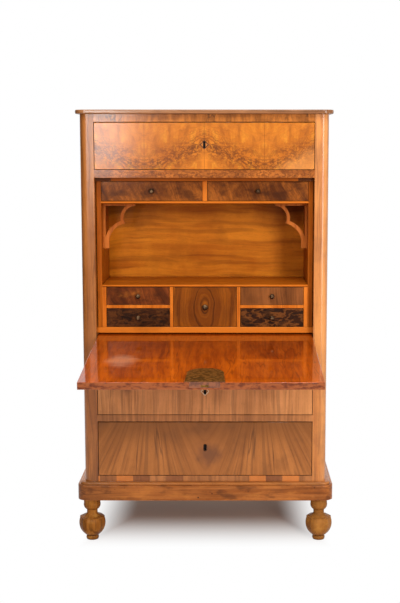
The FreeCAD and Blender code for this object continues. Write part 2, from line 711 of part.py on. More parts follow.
def fall_stop():
    """The strip that the shut fall closes against, with a pad at each end."""
    face = "stop_y + fall_plate_thickness"
    pieces = [plank("stop_strip", BETWEEN_POSTS, (face, "desk_y"), ("z_inner_top", "z_upper_rail"))]
    middle = "z_upper_rail - inner_top_thickness / 2"
    pad_z = (f"{middle} - stop_pad_height / 2", f"{middle} + stop_pad_height / 2")
    for name, side in (("left", -1), ("right", 1)):
        pad_x = right_of(side, "opening_half - stop_pad_length", "opening_half")
        pieces.append(plank(name + "_stop_pad", pad_x, ("stop_y", face), pad_z))
    return group("fall_stop", pieces)


DESK_Y = ("desk_y", "rear_y")
node(plank("inner_top", ACROSS, DESK_Y, ("z_inner_top", "z_upper_rail")))
node(plank("inner_floor", ACROSS, DESK_Y, ("z_desk_under", "z_desk_floor")))
node(group("inner_sides", [
    plank(name + "_inner_side", right_of(side, "inner_half", "inner_outer"), NEST_Y, INSIDE_Z)
    for name, side in (("left", -1), ("right", 1))
]))
INNER_BACK_Y = ("nest_back_y", "nest_back_y + inner_back_thickness")
node(plank("inner_back", both("inner_outer"), INNER_BACK_Y, INSIDE_Z))
node(plank("upper_shelf", both("inner_half"), NEST_Y, ("z_upper_shelf", "z_upper_drawers")))
node(plank("niche_floor", both("inner_half"), NEST_Y, ("z_niche_floor", "z_niche")))
node(partitions())
node(bracket("left_bracket", -1))
node(bracket("right_bracket", 1))
node(fall_stop())


# Keyholes and escutcheons

def keyhole(grow="0"):
    """An upright slot with rounded ends, larger all round by grow."""
    right, left, end = f"keyhole_half + {grow}", f"-keyhole_half - {grow}", f"keyhole_end + {grow}"
    return [
        (right, "-keyhole_straight"),
        (right, "keyhole_straight", end, 1),
        (left, "keyhole_straight"),
        (left, "-keyhole_straight", end, 1),
    ]


def keyhole_bar(label, length):
    return padded(label, "XZ_Plane", [keyhole()], length, reverse=True)


def escutcheon(label, plain):
    """A thin plate round a keyhole: a lozenge, or a plain lining."""
    lozenge = [
        ("escutcheon_half_width", "0"),
        ("0", "escutcheon_half_height"),
        ("-escutcheon_half_width", "0"),
        ("0", "-escutcheon_half_height"),
    ]
    rim = keyhole("lining_width") if plain else lozenge
    return padded(label, "XZ_Plane", [rim, keyhole()], "escutcheon_thickness")


# Long drawers

def long_drawer(label, level, opening, plain):
    """Front with a lock let into its back, box, lock and bolt of one long drawer."""
    low, high = level, f"{level} + {opening}"
    front_z = (f"{low} + drawer_foot_gap", f"{high} - drawer_top_gap")
    crown = front_z[1]
    key_z = f"({front_z[0]} + {front_z[1]}) / 2 + key_rise"
    lock_space = (both("lock_width / 2"), LOCK_Y, (f"{key_z} - lock_below_key", crown))
    blank = plank(label + "_blank", both("opening_half - drawer_side_gap"),
                  ("front_y", "front_y + drawer_front_thickness"), front_z)
    recess = plank(label + "_recess", *lock_space)
    key_way = put(keyhole_bar(label + "_keyway", "drawer_front_thickness - lock_depth"), y="front_y", z=key_z)
    node(cut(label + "_front", blank, [recess, key_way]))
    node(drawer_box(label + "_box", low, crown))
    case = plank(label + "_case", *lock_space)
    seat = f"{crown} - bolt_length - bolt_play"
    slot = plank(label + "_slot", slot_x("0", "bolt_play"), slot_y(BOLT_MIDDLE_Y, "bolt_play"), (seat, crown))
    plate = put(escutcheon(label + "_escutcheon", plain), y="front_y", z=key_z)
    node(group(label + "_lock", [cut(label + "_lock_case", case, [slot]), plate]))
    bolt_z = (f"{crown} - bolt_length", crown)
    node(plank(label + "_bolt", slot_x("0", "0"), slot_y(BOLT_MIDDLE_Y, "0"), bolt_z))


def drawer_box(label, low, crown):
    outer = "opening_half - drawer_side_gap"
    inner = f"{outer} - drawer_side_thickness"
    near, far = "front_y + drawer_front_thickness", "front_y + drawer_length"
    back = f"{far} - drawer_side_thickness"
    run = f"{low} + drawer_run_gap"
    side_z = (run, f"{crown} - drawer_side_drop")
    bottom_low = f"{run} + drawer_bottom_lift"
    bottom_high = f"{bottom_low} + drawer_bottom_thickness"
    return group(label, [
        plank(label + "_left", right_of(-1, inner, outer), (near, far), side_z),
        plank(label + "_right", right_of(1, inner, outer), (near, far), side_z),
        plank(label + "_back", both(inner), (back, far), (bottom_high, side_z[1])),
        plank(label + "_bottom", both(inner), (near, far), (bottom_low, bottom_high)),
    ])


long_drawer("top_drawer", "z_top_drawer", "top_opening_height", plain=False)
long_drawer("middle_drawer", "z_middle_drawer", "middle_opening_height", plain=False)
long_drawer("bottom_drawer", "z_bottom_drawer", "bottom_opening_height", plain=True)


# Small drawers

def small_drawer(label, x, z, knob_size):
    """A small drawer in the opening x by z, and its knob."""
    left, right = f"{x[0]} + small_gap", f"{x[1]} - small_gap"
    low, crown = f"{z[0]} + drawer_run_gap", f"{z[1]} - small_top_gap"
    face = "desk_y + small_inset"
    near, far = f"{face} + small_front_thickness", f"{face} + small_length"
    back = f"{far} - small_side_thickness"
    top = f"{crown} - small_side_drop"
    inside = (f"{left} + small_side_thickness", f"{right} - small_side_thickness")
    floor = f"{low} + small_bottom_thickness"
    node(group(label, [
        plank(label + "_front", (left, right), (face, near), (low, crown)),
        plank(label + "_left", (left, inside[0]), (near, far), (low, top)),
        plank(label + "_right", (inside[1], right), (near, far), (low, top)),
        plank(label + "_back", inside, (back, far), (floor, top)),
        plank(label + "_bottom", inside, (near, far), (low, floor)),
    ]))
    node(put(knob(label + "_knob", knob_size), f"({left} + {right}) / 2", face, f"({low} + {crown}) / 2"))


def knob(label, size):
    """A turned knob: collar, waist and domed head, pointing to the front."""
    waist_end = "-knob_length + knob_head_length"
    outline = [
        ("0", "0"),
        ("0", "-knob_length"),
        ("knob_stem_radius", "-knob_length", size, 1),
        (size, f"{waist_end} - knob_collar_length"),
        (size, waist_end, size, 1),
        ("knob_stem_radius", f"{waist_end} + knob_collar_length"),
        ("knob_stem_radius", "-knob_collar_length"),
        ("knob_collar_radius", "-knob_collar_length"),
        ("knob_collar_radius", "0"),
    ]
    return turned(label, "XY_Plane", outline)


NEST_ROWS = (("upper", ("z_nest_upper", "z_niche_floor")), ("lower", ("z_desk_floor", "z_nest_shelf")))
for name, side in (("left", -1), ("right", 1)):
    upper_x = right_of(side, "divider_half", "inner_half")
    nest_x = right_of(side, "center_outer", "nest_half")
    small_drawer(f"{name}_upper_drawer", upper_x, UPPER_Z, "knob_radius")
    for row, row_z in NEST_ROWS:
        small_drawer(f"{name}_nest_{row}_drawer", nest_x, row_z, "knob_radius")
small_drawer("center_nest_drawer", both("center_half"), NEST_Z, "center_knob_radius")


# Fall: drawn shut, with its pivot axis at the origin, then swung open

def hang(piece):
    """Swing a piece of the shut fall open about the pivots."""
    piece.Placement.Rotation = FreeCAD.Rotation(FreeCAD.Vector(1, 0, 0), 90)
    bind(piece, Placement__Rotation__Angle="90 + fall_droop")
    return put(piece, y="pivot_y", z="pivot_z")


def fall_pin(label, side, play):
    rod = doc.addObject("Part::Cylinder", label)
    rod.Placement.Rotation = FreeCAD.Rotation(FreeCAD.Vector(0, 1, 0), 90 * side)
    start = "fall_half - pin_root"
    bind(rod, Radius=f"pin_radius + {play}", Height="pin_root + pin_reach")
    return put(rod, start if side > 0 else f"-({start})")


def fall_plate():
    outline = [
        ("fall_plate_half", "0"),
        ("-fall_plate_half", "0"),
        ("-plate_waist_half", "-fall_plate_shoulder", "fall_plate_sweep", 1),
        ("-plate_crown_half", "-fall_plate_height"),
        ("plate_crown_half", "-fall_plate_height", "fall_plate_sweep", 1),
        ("plate_waist_half", "-fall_plate_shoulder"),
    ]
    plate = padded("fall_lock_plate", "XZ_Plane", [outline], "fall_plate_thickness", reverse=True)
    return put(plate, "fall_lock_offset", "fall_inner", "fall_upper")


def fall():
    thickness = ("-fall_inner", "fall_inner")
    blank = plank("fall_blank", both("fall_half"), thickness, ("-fall_tail", "fall_upper"))
    lock_x = ("fall_lock_offset - fall_lock_width / 2", "fall_lock_offset + fall_lock_width / 2")
    lock_space = (lock_x, ("-lock_depth / 2", "fall_inner"), ("fall_upper - fall_lock_height", "fall_upper"))
    recess = plank("fall_recess", *lock_space)
    key_place = ("fall_lock_offset", "-fall_inner", "fall_upper - fall_key_drop")
    key_way = put(keyhole_bar("fall_keyway", "fall_inner - lock_depth / 2"), *key_place)
    holes = [fall_pin("left_pin_hole", -1, "pin_play"), fall_pin("right_pin_hole", 1, "pin_play")]
    board = cut("fall_cut", blank, [recess, key_way] + holes)
    node(hang(group("fall_board", [board])))
    pins = [fall_pin("left_pin", -1, "0"), fall_pin("right_pin", 1, "0")]
    node(hang(group("fall_pivots", pins)))
    case = plank("fall_case", *lock_space)
    slot_z = ("fall_upper - bolt_length - bolt_play", "fall_upper")
    slot = plank("fall_slot", slot_x("fall_lock_offset", "bolt_play"), slot_y("0", "bolt_play"), slot_z)
    outside = put(escutcheon("fall_escutcheon", plain=False), *key_place)
    node(hang(group("fall_lock", [cut("fall_lock_case", case, [slot]), fall_plate(), outside])))
    bolt_z = ("fall_upper - bolt_length", "fall_upper")
    bolt = plank("fall_bolt_bar", slot_x("fall_lock_offset", "0"), slot_y("0", "0"), bolt_z)
    node(hang(group("fall_bolt", [bolt])))


fall()


# Build, test and write

doc.recompute()
for thing in doc.Objects:
    if "Invalid" in thing.State or "Error" in thing.State:
        raise RuntimeError(f"{thing.Label} could not be built: {thing.State}")
for piece in nodes:
    if piece.Shape.isNull() or not piece.Shape.isValid() or not piece.Shape.Solids:
        raise RuntimeError(f"{piece.Label} is not a sound solid")
os.makedirs("parts", exist_ok=True)
for piece in nodes:
    piece.Shape.exportStep(f"parts/{piece.Label}.step")
print(len(nodes), "nodes,", sum(len(piece.Shape.Solids) for piece in nodes), "solids")
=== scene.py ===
import json
import math

import bmesh
import bpy
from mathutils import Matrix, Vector

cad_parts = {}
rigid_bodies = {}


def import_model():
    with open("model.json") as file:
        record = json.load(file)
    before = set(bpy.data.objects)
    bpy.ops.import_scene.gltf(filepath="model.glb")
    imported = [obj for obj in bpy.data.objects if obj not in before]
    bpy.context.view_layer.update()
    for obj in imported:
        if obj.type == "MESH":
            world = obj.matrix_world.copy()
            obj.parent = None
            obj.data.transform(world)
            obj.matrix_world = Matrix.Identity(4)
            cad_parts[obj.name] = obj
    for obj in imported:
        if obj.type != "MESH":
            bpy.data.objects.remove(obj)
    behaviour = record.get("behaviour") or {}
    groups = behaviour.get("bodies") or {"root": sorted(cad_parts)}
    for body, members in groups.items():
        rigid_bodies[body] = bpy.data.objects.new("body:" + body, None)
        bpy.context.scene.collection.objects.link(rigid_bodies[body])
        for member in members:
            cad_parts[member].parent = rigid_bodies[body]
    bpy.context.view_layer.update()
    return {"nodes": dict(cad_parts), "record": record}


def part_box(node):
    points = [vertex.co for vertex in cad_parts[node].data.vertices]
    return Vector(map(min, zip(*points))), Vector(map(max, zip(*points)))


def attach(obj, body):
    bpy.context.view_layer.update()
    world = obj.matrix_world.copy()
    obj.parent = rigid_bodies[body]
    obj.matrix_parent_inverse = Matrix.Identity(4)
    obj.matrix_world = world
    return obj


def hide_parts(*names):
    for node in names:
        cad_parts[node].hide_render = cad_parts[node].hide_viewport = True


# The looks of a fall-front escritoire: polished walnut and cherry veneers, pine, aged brass, bronze, dark
# iron and bone, on a pale studio floor. Everything is in metres, with +Z up and the front towards -Y.

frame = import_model()
nodes = frame["nodes"]
SLOT_OF = {part["node"]: part["material_slot"] for part in frame["record"]["subparts"]}
BODY_OF = {
    node: body
    for body, members in frame["record"]["behaviour"]["bodies"].items()
    for node in members
}
MM = 0.001


# Places that the looks refer to

FRONT_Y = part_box("left_post")[0].y
BACK_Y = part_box("back_panel")[1].y
FOOT_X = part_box("front_right_foot")[0].x
TOP_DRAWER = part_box("top_drawer_front")
MIDDLE_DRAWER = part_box("middle_drawer_front")
BOTTOM_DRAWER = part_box("bottom_drawer_front")
CENTER_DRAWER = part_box("center_nest_drawer")
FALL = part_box("fall_board")
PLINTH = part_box("plinth_front")
NICHE_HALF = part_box("upper_shelf")[1].x
NICHE_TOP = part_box("upper_shelf")[0].z


def tint(red, green, blue):
    """A colour as it looks on screen, 0 to 255, turned into the linear values that shaders take."""
    def linear(level):
        share = level / 255
        return share / 12.92 if share <= 0.04045 else ((share + 0.055) / 1.055) ** 2.4

    return (linear(red), linear(green), linear(blue), 1.0)


# Tones of the woods, each light, deep and dark

WALNUT = (tint(206, 130, 60), tint(166, 94, 36), tint(78, 36, 12))
TOP_WALNUT = (tint(160, 108, 68), tint(120, 76, 44), tint(62, 34, 16))
# The posts are one walnut: the left post's darker tones are painted shade, the right post's lighter tones
# painted light.
SHADED_LEFT_WALNUT = (tint(184, 114, 54), tint(146, 84, 34), tint(70, 34, 12))
LIT_RIGHT_WALNUT = (tint(217, 140, 67), tint(179, 104, 44), tint(82, 40, 16))
STRAIGHT_WALNUT = (tint(222, 150, 88), tint(182, 116, 60), tint(86, 48, 20))
FAN_WALNUT = (tint(194, 122, 58), tint(150, 88, 34), tint(66, 36, 14))
LEAF = (tint(201, 118, 34), tint(180, 97, 20), tint(134, 66, 18))
FRIEZE = (tint(194, 115, 43), tint(140, 78, 23), tint(58, 28, 8))
RAIL_WALNUT = (tint(198, 128, 70), tint(158, 98, 50), tint(80, 42, 18))
BURL = (tint(200, 116, 44), tint(156, 84, 26), tint(74, 32, 10))
RED_WALNUT = (tint(194, 118, 56), tint(150, 82, 30), tint(72, 32, 10))
CHERRY = (tint(222, 132, 30), tint(178, 92, 14), tint(110, 48, 5))
FLOOR_CHERRY = (tint(176, 92, 16), tint(146, 70, 8), tint(96, 40, 4))
EDGE_CHERRY = (tint(214, 120, 38), tint(184, 92, 20), tint(120, 52, 8))
BRACKET_CHERRY = (tint(196, 111, 46), tint(160, 80, 26), tint(106, 45, 10))
FALL_CHERRY = (tint(198, 88, 5), tint(152, 58, 2), tint(96, 30, 2))
SIDE_CHERRY = (tint(178, 94, 18), tint(142, 65, 7), tint(92, 38, 4))
DARK_WALNUT = (tint(170, 94, 30), tint(100, 48, 10), tint(38, 16, 4))
RED_SMALL_WALNUT = (tint(132, 64, 22), tint(78, 34, 10), tint(30, 12, 4))
CENTER_WALNUT = (tint(152, 80, 14), tint(100, 46, 6), tint(42, 18, 3))
PALE_SMALL_WALNUT = (tint(142, 82, 38), tint(96, 52, 20), tint(44, 21, 7))
BURL_WALNUT = (tint(66, 32, 10), tint(34, 15, 5), tint(12, 5, 2))
PINE = (tint(226, 190, 138), tint(198, 152, 94), tint(132, 88, 46))
FOOT_WOOD = (tint(176, 112, 46), tint(134, 78, 26), tint(66, 34, 10))

# Tones of figures, stains and worn places, and of painted shade, a painted shadow, painted highlights and a
# painted reflection

VEIN = tint(100, 46, 12)
FLAME_LIGHT = tint(214, 138, 38)
FLAME_DARK = tint(150, 82, 22)
CHEVRON_LINE = tint(112, 58, 18)
CHEVRON_CURL = tint(92, 46, 16)
MIDDLE_RAY = tint(232, 138, 38)
PALE_LEAF = tint(226, 154, 84)
BURL_LINE = tint(84, 38, 12)
BURL_EYE = tint(60, 28, 10)
CROTCH_DARK = tint(58, 26, 8)
CROTCH_GOLD = tint(172, 98, 32)
CROTCH_LINE = tint(70, 32, 10)
CURL_STROKE = tint(128, 72, 28)
CURL_SHADE = tint(26, 12, 5)
LIGHT_BLOCK = tint(222, 130, 54)
DARK_BLOCK = tint(120, 62, 30)
KNOT_HALO = tint(110, 60, 30)
KNOT_HEART = tint(60, 30, 14)
FAN_MIDDLE = tint(174, 106, 48)
FALL_SHADOW_TONE = tint(124, 70, 14)
FAN_HEART = tint(96, 58, 40)
RIGHT_FOOT_LIGHT = tint(196, 134, 66)
BARE_FOOT = tint(200, 140, 66)
BRUISE = tint(84, 42, 18)
RUBBED_PLINTH = tint(206, 128, 56)
MOULDING_HIGHLIGHT = tint(206, 136, 74)
SHADED_PLINTH = tint(96, 54, 26)
WORM_HOLE = tint(40, 18, 8)
# Painted shade at the top of the niche.
NICHE_SHADE = tint(70, 30, 4)
DARK_PAD = tint(52, 26, 12)
ROUND_HIGHLIGHT = tint(248, 180, 114)
DUST = tint(172, 124, 84)
BRIGHT_NOSING = tint(214, 118, 36)
FALL_BACK = tint(112, 38, 1)
PAINTED_REFLECTION = tint(226, 164, 128)
FALL_EDGE = (tint(150, 84, 48), tint(100, 50, 32))

# Tones of the metals, each bright, dull and tarnished, and of the inlays

BRASS = (tint(172, 128, 62), tint(112, 78, 32), tint(74, 60, 28))
BRONZE = (tint(120, 94, 68), tint(66, 48, 34), tint(40, 29, 22))
IRON = (tint(120, 112, 104), tint(50, 45, 42), tint(36, 32, 30))
BROWN_PLATE = (tint(136, 80, 50), tint(96, 54, 36))
DARK_BORDER = tint(58, 30, 12)
PALE_BORDER = tint(240, 216, 182)
AGED_BORDER = tint(140, 96, 58)
KEYHOLE_SHADE = tint(12, 8, 6)
BONE = tint(206, 182, 148)

# Tones of the studio

FLOOR_TONES = (tint(204, 182, 170), tint(216, 196, 184))
CLOTH_TONES = (tint(30, 28, 28), tint(48, 45, 44))
WHITE = (1, 1, 1, 1)


# Shader building

class Number:
    """A number that varies over a surface. Arithmetic with it adds nodes to its material."""

    def __init__(self, paint, socket):
        self.paint = paint
        self.socket = socket

    def __add__(self, other):
        return self.paint.figure("ADD", self, other)

    def __sub__(self, other):
        return self.paint.figure("SUBTRACT", self, other)

    def __rsub__(self, other):
        return self.paint.figure("SUBTRACT", other, self)

    def __mul__(self, other):
        return self.paint.figure("MULTIPLY", self, other)

    def __truediv__(self, other):
        return self.paint.figure("DIVIDE", self, other)

    def __abs__(self):
        return self.paint.figure("ABSOLUTE", self)


class Paint:
    """A procedural material under construction, in the coordinates of the piece at rest.

    kept is the share of its polish that is left: 1, or a Number where it is worn in places."""

    def __init__(self, name):
        self.material = bpy.data.materials.new(name)
        self.material.use_nodes = True
        self.tree = self.material.node_tree
        self.shader = self.tree.nodes["Principled BSDF"]
        self.kept = 1.0
        coordinates = self.node("ShaderNodeTexCoord")
        place = self.node("ShaderNodeSeparateXYZ", Vector=coordinates.outputs["Object"])
        facing = self.node("ShaderNodeSeparateXYZ", Vector=coordinates.outputs["Normal"])
        self.x, self.y, self.z = (Number(self, place.outputs[axis]) for axis in "XYZ")
        self.facing_x, self.facing_y, self.facing_z = (Number(self, facing.outputs[axis]) for axis in "XYZ")

    def node(self, kind, settings=None, **inputs):
        """A new node with its settings and inputs, where _ in an input's name stands for a space."""
        made = self.tree.nodes.new(kind)
        for name, value in (settings or {}).items():
            setattr(made, name, value)
        for name, value in inputs.items():
            self.feed(made.inputs[name.replace("_", " ")], value)
        return made

    def feed(self, socket, value):
        """Link a socket to a Number or another socket, or set it to a plain value."""
        source = value.socket if isinstance(value, Number) else value
        if isinstance(source, bpy.types.NodeSocket):
            self.tree.links.new(source, socket)
        else:
            socket.default_value = source

    def figure(self, operation, *terms):
        """One step of arithmetic."""
        made = self.node("ShaderNodeMath", {"operation": operation})
        for socket, term in zip(made.inputs, terms):
            self.feed(socket, term)
        return Number(self, made.outputs[0])

    def length(self, x, y):
        """How far a point is from the origin of two coordinates."""
        return self.figure("SQRT", x * x + y * y)

    def noise(self, x, y, z, detail=2.0, roughness=0.55):
        """Smooth noise about 0.5, with features about 1 long."""
        point = self.node("ShaderNodeCombineXYZ", X=x, Y=y, Z=z)
        made = self.node("ShaderNodeTexNoise", Vector=point.outputs[0], Scale=1.0, Detail=detail,
                         Roughness=roughness)
        return Number(self, made.outputs["Fac"])

    def speckle(self, scale, detail=3.0):
        """Noise that is as coarse along as across."""
        return self.noise(self.x * scale, self.y * scale, self.z * scale, detail)

    def chance(self, number):
        """A fixed random number for each whole number."""
        made = self.node("ShaderNodeTexWhiteNoise", {"noise_dimensions": "1D"}, W=number)
        return Number(self, made.outputs["Value"])

    def step(self, number, low, high):
        """0 at low, 1 at high, smooth between them."""
        made = self.node("ShaderNodeMapRange", {"interpolation_type": "SMOOTHSTEP"}, Value=number,
                         From_Min=low, From_Max=high)
        return Number(self, made.outputs["Result"])

    def mix(self, first, second, share):
        """The first colour, with a share of the second over it."""
        made = self.node("ShaderNodeMix", {"data_type": "RGBA", "clamp_factor": True})
        factor, one, other = made.inputs[0], made.inputs[6], made.inputs[7]
        self.feed(factor, share)
        self.feed(one, first)
        self.feed(other, second)
        return made.outputs[2]

    def edges(self, radius):
        """1 along the outer edges of a piece, 0 on its open faces."""
        rounded = self.node("ShaderNodeBevel", {"samples": 4}, Radius=radius)
        flat = self.node("ShaderNodeNewGeometry")
        turn = self.node("ShaderNodeVectorMath", {"operation": "DOT_PRODUCT"})
        self.feed(turn.inputs[0], rounded.outputs["Normal"])
        self.feed(turn.inputs[1], flat.outputs["Normal"])
        return self.step(1 - Number(self, turn.outputs["Value"]), 0.01, 0.2)

    def crevices(self, distance):
        """1 deep in corners and gaps, 0 in the open."""
        made = self.node("ShaderNodeAmbientOcclusion", {"samples": 6}, Distance=distance)
        return self.step(1 - Number(self, made.outputs["AO"]), 0.35, 0.95)

    def finish(self, colour, roughness, height, relief):
        """Wire up colour, roughness and a bump whose heights are relief metres deep."""
        bump = self.node("ShaderNodeBump", Height=height, Distance=relief)
        bump.inputs["Strength"].default_value = 1.0
        self.feed(self.shader.inputs["Base Color"], colour)
        self.feed(self.shader.inputs["Roughness"], roughness)
        self.feed(self.shader.inputs["Normal"], bump.outputs["Normal"])
        return self.material

    def polish(self, sheen, weight, roughness):
        """How strongly bare wood shines, and the coat of shellac over it where it is kept."""
        self.shader.inputs["Specular IOR Level"].default_value = sheen
        self.feed(self.shader.inputs["Coat Weight"], self.kept * weight)
        self.shader.inputs["Coat Roughness"].default_value = roughness


# How the grain of each wood runs: coordinates along, across and through it

def upright(paint):
    """Grain that runs up."""
    return paint.z, paint.x, paint.y


def short_upright(paint):
    """Upright grain cut from short flitches, so that its figure changes quickly."""
    return paint.z * 6, paint.x, paint.y


def sideways(paint):
    """Grain that runs from side to side."""
    return paint.x, paint.z, paint.y


def wide_sideways(paint):
    """Grain of a broad flat-sawn board."""
    return paint.x, paint.z * 0.45, paint.y


def inwards(paint):
    """Grain that runs from front to back."""
    return paint.y, paint.x, paint.z


def boxed(paint):
    """Grain of drawer boards: it runs to the back, and sideways in the boards that face the front."""
    turned = paint.step(abs(paint.facing_y), 0.5, 0.9)
    along = paint.y + (paint.x - paint.y) * turned
    across = paint.x + (paint.z - paint.x) * turned
    depth = paint.z + (paint.y - paint.z) * turned
    return along, across, depth


FAN_X = 0.2
FAN_RISE = 0.24
FAN_FOLD = 0.01
FAN_RADIUS = FAN_RISE + 0.1


def fan(paint):
    """Two mirrored leaves whose grain spreads downwards from a point above each of them."""
    side = paint.length(paint.x, FAN_FOLD) - FAN_X
    drop = (BOTTOM_DRAWER[1].z + FAN_RISE) - paint.z
    angle = paint.figure("ARCTAN2", side, drop)
    return paint.length(side, drop), angle * FAN_RADIUS, paint.y


LEAF_JOINT = 0.217
CHEVRON_SLOPE = 0.43


def from_joint(paint):
    """How far a point lies from the nearer outer joint between the top drawer's leaves."""
    return abs(abs(paint.x) - LEAF_JOINT)


def chevron_level(paint):
    """Height over lines that climb away from the joints between the top drawer's leaves."""
    leaf = from_joint(paint)
    swirl = paint.noise(leaf * 14, paint.z * 16, paint.y, detail=3) - 0.5
    return paint.z - TOP_DRAWER[0].z - leaf * CHEVRON_SLOPE + swirl * 0.07


def chevrons(paint):
    """Grain that climbs away from the joints between the top drawer's leaves."""
    return from_joint(paint) + paint.z * 0.5, chevron_level(paint), paint.y


def ellipses(paint):
    """Upright ellipses round the knob of the middle nest drawer."""
    middle = (CENTER_DRAWER[0].z + CENTER_DRAWER[1].z) / 2
    rise = paint.z - middle
    warp = paint.noise(paint.x * 16, paint.y, paint.z * 10, detail=3) - 0.5
    return rise, paint.length(paint.x, rise * 0.5) + warp * 0.03, paint.y


def curls(paint):
    """Burl: grain that winds round itself."""
    turn = paint.noise(paint.x * 14, paint.z * 22, paint.y, detail=3)
    drift = paint.noise(paint.x * 11 + 4, paint.z * 18 + 2, paint.y, detail=3)
    return drift * 0.3, turn * 0.45 + paint.x * 0.3, paint.y


def feather(paint):
    """Slanting grain that bends as it goes, as in a crotch."""
    bend = paint.noise(paint.x * 7, paint.y, paint.z * 5) - 0.5
    return paint.z - paint.x * 0.5, paint.x + paint.z * 0.5 + bend * 0.09, paint.y


# Woods

def grain(paint, along, across, depth, tones, wave=0.02, streaks=0.5, contrast=1.0, fine=0.32):
    """Colour and fine height of wood whose fibres run along one coordinate, with thin dark veins."""
    light, deep, dark = tones
    sway = paint.noise(across * 6, along * 3, depth * 6) - 0.5
    bent = across + sway * wave
    band = paint.noise(bent * 22, along * 1.5, depth * 22, detail=3)
    stripe = paint.noise(bent * 55, along * 2, depth * 55, detail=4, roughness=0.65)
    line = paint.noise(bent * 120, along * 3, depth * 120)
    cloud = paint.noise(across * 10, along * 8, depth * 10, detail=4)
    pore = paint.step(paint.noise(bent * 1500, along * 70, depth * 1500, detail=1), 0.58, 0.72)
    spread = 0.14 / contrast
    tone = paint.step(band * 0.3 + stripe * 0.45 + cloud * 0.25, 0.5 - spread, 0.5 + spread)
    colour = paint.mix(light, deep, tone)
    vein = paint.noise(bent * 16 + 7.3, along, depth * 16, detail=3)
    veined = paint.step(paint.noise(across * 5 + 3.1, along * 3, depth * 5), 0.44, 0.6)
    colour = paint.mix(colour, dark, paint.step(abs(vein - 0.5), 0.02, 0.003) * veined * streaks)
    colour = paint.mix(colour, dark, paint.step(line, 0.5, 0.64) * fine)
    colour = paint.mix(colour, dark, pore * 0.25)
    return colour, line * 0.5 - pore


RUBBED_WIDTH = 2 * MM


def wear(paint, colour, dark, rubbed, dirt_and_shade, rub, reach):
    """Clouds of old stain, grime and painted shade in the corners, and edges that are rubbed pale or
    darkened.
    """
    scuff = paint.speckle(70)
    stain = paint.speckle(8, detail=5)
    colour = paint.mix(colour, dark, paint.step(stain, 0.5, 0.72) * 0.3)
    # Corners and gaps darkened by ambient occlusion: partly grime, partly painted shade.
    colour = paint.mix(colour, dark, paint.crevices(reach) * dirt_and_shade)
    return paint.mix(colour, rubbed, paint.edges(RUBBED_WIDTH) * paint.step(scuff, 0.35, 0.55) * rub)


GRAIN_RELIEF = 0.1 * MM


def wood(name, tones, run, extra=None, sheen=0.12, coat=(0.15, 0.2), dirt_and_shade=0.5, rub=0.35, reach=14 * MM,
         edge=0, **look):
    """A polished wood.

    run(paint) gives the way of its grain and extra(paint, colour) what is special to it. coat is the weight
    and roughness of its shellac, reach how far the grime and painted shade spread from a corner, and edge
    which of its tones its edges turn to."""
    paint = Paint(name)
    colour, height = grain(paint, *run(paint), tones, **look)
    if extra:
        colour = extra(paint, colour)
    colour = wear(paint, colour, tones[2], tones[edge], dirt_and_shade, rub, reach)
    roughness = paint.speckle(9, detail=4) * 0.22 + 0.26
    paint.polish(sheen, *coat)
    return paint.finish(colour, roughness, height, GRAIN_RELIEF)


# What is special to single veneers

def squiggles(paint, across, along, width):
    """Thin lines that wander as they do in burl."""
    field = paint.noise(across, along, paint.y, detail=5, roughness=0.62)
    return paint.step(abs(field - 0.5), width, width * 0.15)


PALE_SPREAD = 0.1
JOINT_WIDTH = 1.6 * MM
JOINT_CORE = 0.4 * MM


def chevron_figure(paint, colour):
    """Dark veins that follow the chevrons of the book-matched leaves, a pale corner on the last leaf, and
    the joints between the leaves."""
    level = chevron_level(paint)
    leaf = from_joint(paint)
    zone = paint.step(abs(level), 0.08, 0.0)
    flame = paint.noise(leaf * 30, level * 18, paint.y, detail=5, roughness=0.6)
    colour = paint.mix(colour, FLAME_LIGHT, paint.step(flame, 0.5, 0.66) * 0.6)
    colour = paint.mix(colour, FLAME_DARK, paint.step(flame, 0.5, 0.34) * 0.6)
    lines = squiggles(paint, level * 60, leaf * 20, 0.06)
    colour = paint.mix(colour, CHEVRON_LINE, lines * (zone * 0.7 + 0.14))
    curl = squiggles(paint, paint.z * 46, leaf * 40, 0.05)
    colour = paint.mix(colour, CHEVRON_CURL, curl * zone * 0.65)
    ray = paint.step(abs(paint.x), 0.03, 0.0) * paint.step(paint.z - TOP_DRAWER[0].z, 0.1, 0.03)
    colour = paint.mix(colour, MIDDLE_RAY, ray * 0.5)
    pale = paint.step(paint.x, LEAF_JOINT, LEAF_JOINT + PALE_SPREAD) * paint.step(level, 0.03, -0.04)
    colour = paint.mix(colour, PALE_LEAF, pale * 0.45)
    joint = paint.step(paint.figure("MINIMUM", leaf, abs(paint.x)), JOINT_WIDTH, JOINT_CORE)
    return paint.mix(colour, VEIN, joint * 0.5)


def burl_spots(paint, colour):
    """Dark eyes, clouds and winding lines of burl."""
    cloud = paint.step(paint.noise(paint.x * 12, paint.z * 30, paint.y, detail=4), 0.46, 0.66)
    eye = paint.step(paint.noise(paint.x * 60, paint.z * 70, paint.y, detail=3), 0.6, 0.7)
    colour = paint.mix(colour, VEIN, cloud * 0.5)
    colour = paint.mix(colour, BURL_LINE, squiggles(paint, paint.x * 36, paint.z * 44, 0.06) * 0.6)
    return paint.mix(colour, BURL_EYE, eye * 0.5)


def crotch(paint, colour):
    """Dark and golden clouds with fine bent lines, as where a branch leaves the trunk."""
    cloud = paint.noise(paint.x * 13, paint.y, paint.z * 22, detail=5)
    colour = paint.mix(colour, CROTCH_DARK, paint.step(cloud, 0.5, 0.66) * 0.65)
    colour = paint.mix(colour, CROTCH_GOLD, paint.step(cloud, 0.48, 0.32) * 0.5)
    lines = squiggles(paint, paint.x * 60 + cloud * 6, paint.z * 12, 0.06)
    return paint.mix(colour, CROTCH_LINE, lines * 0.4)


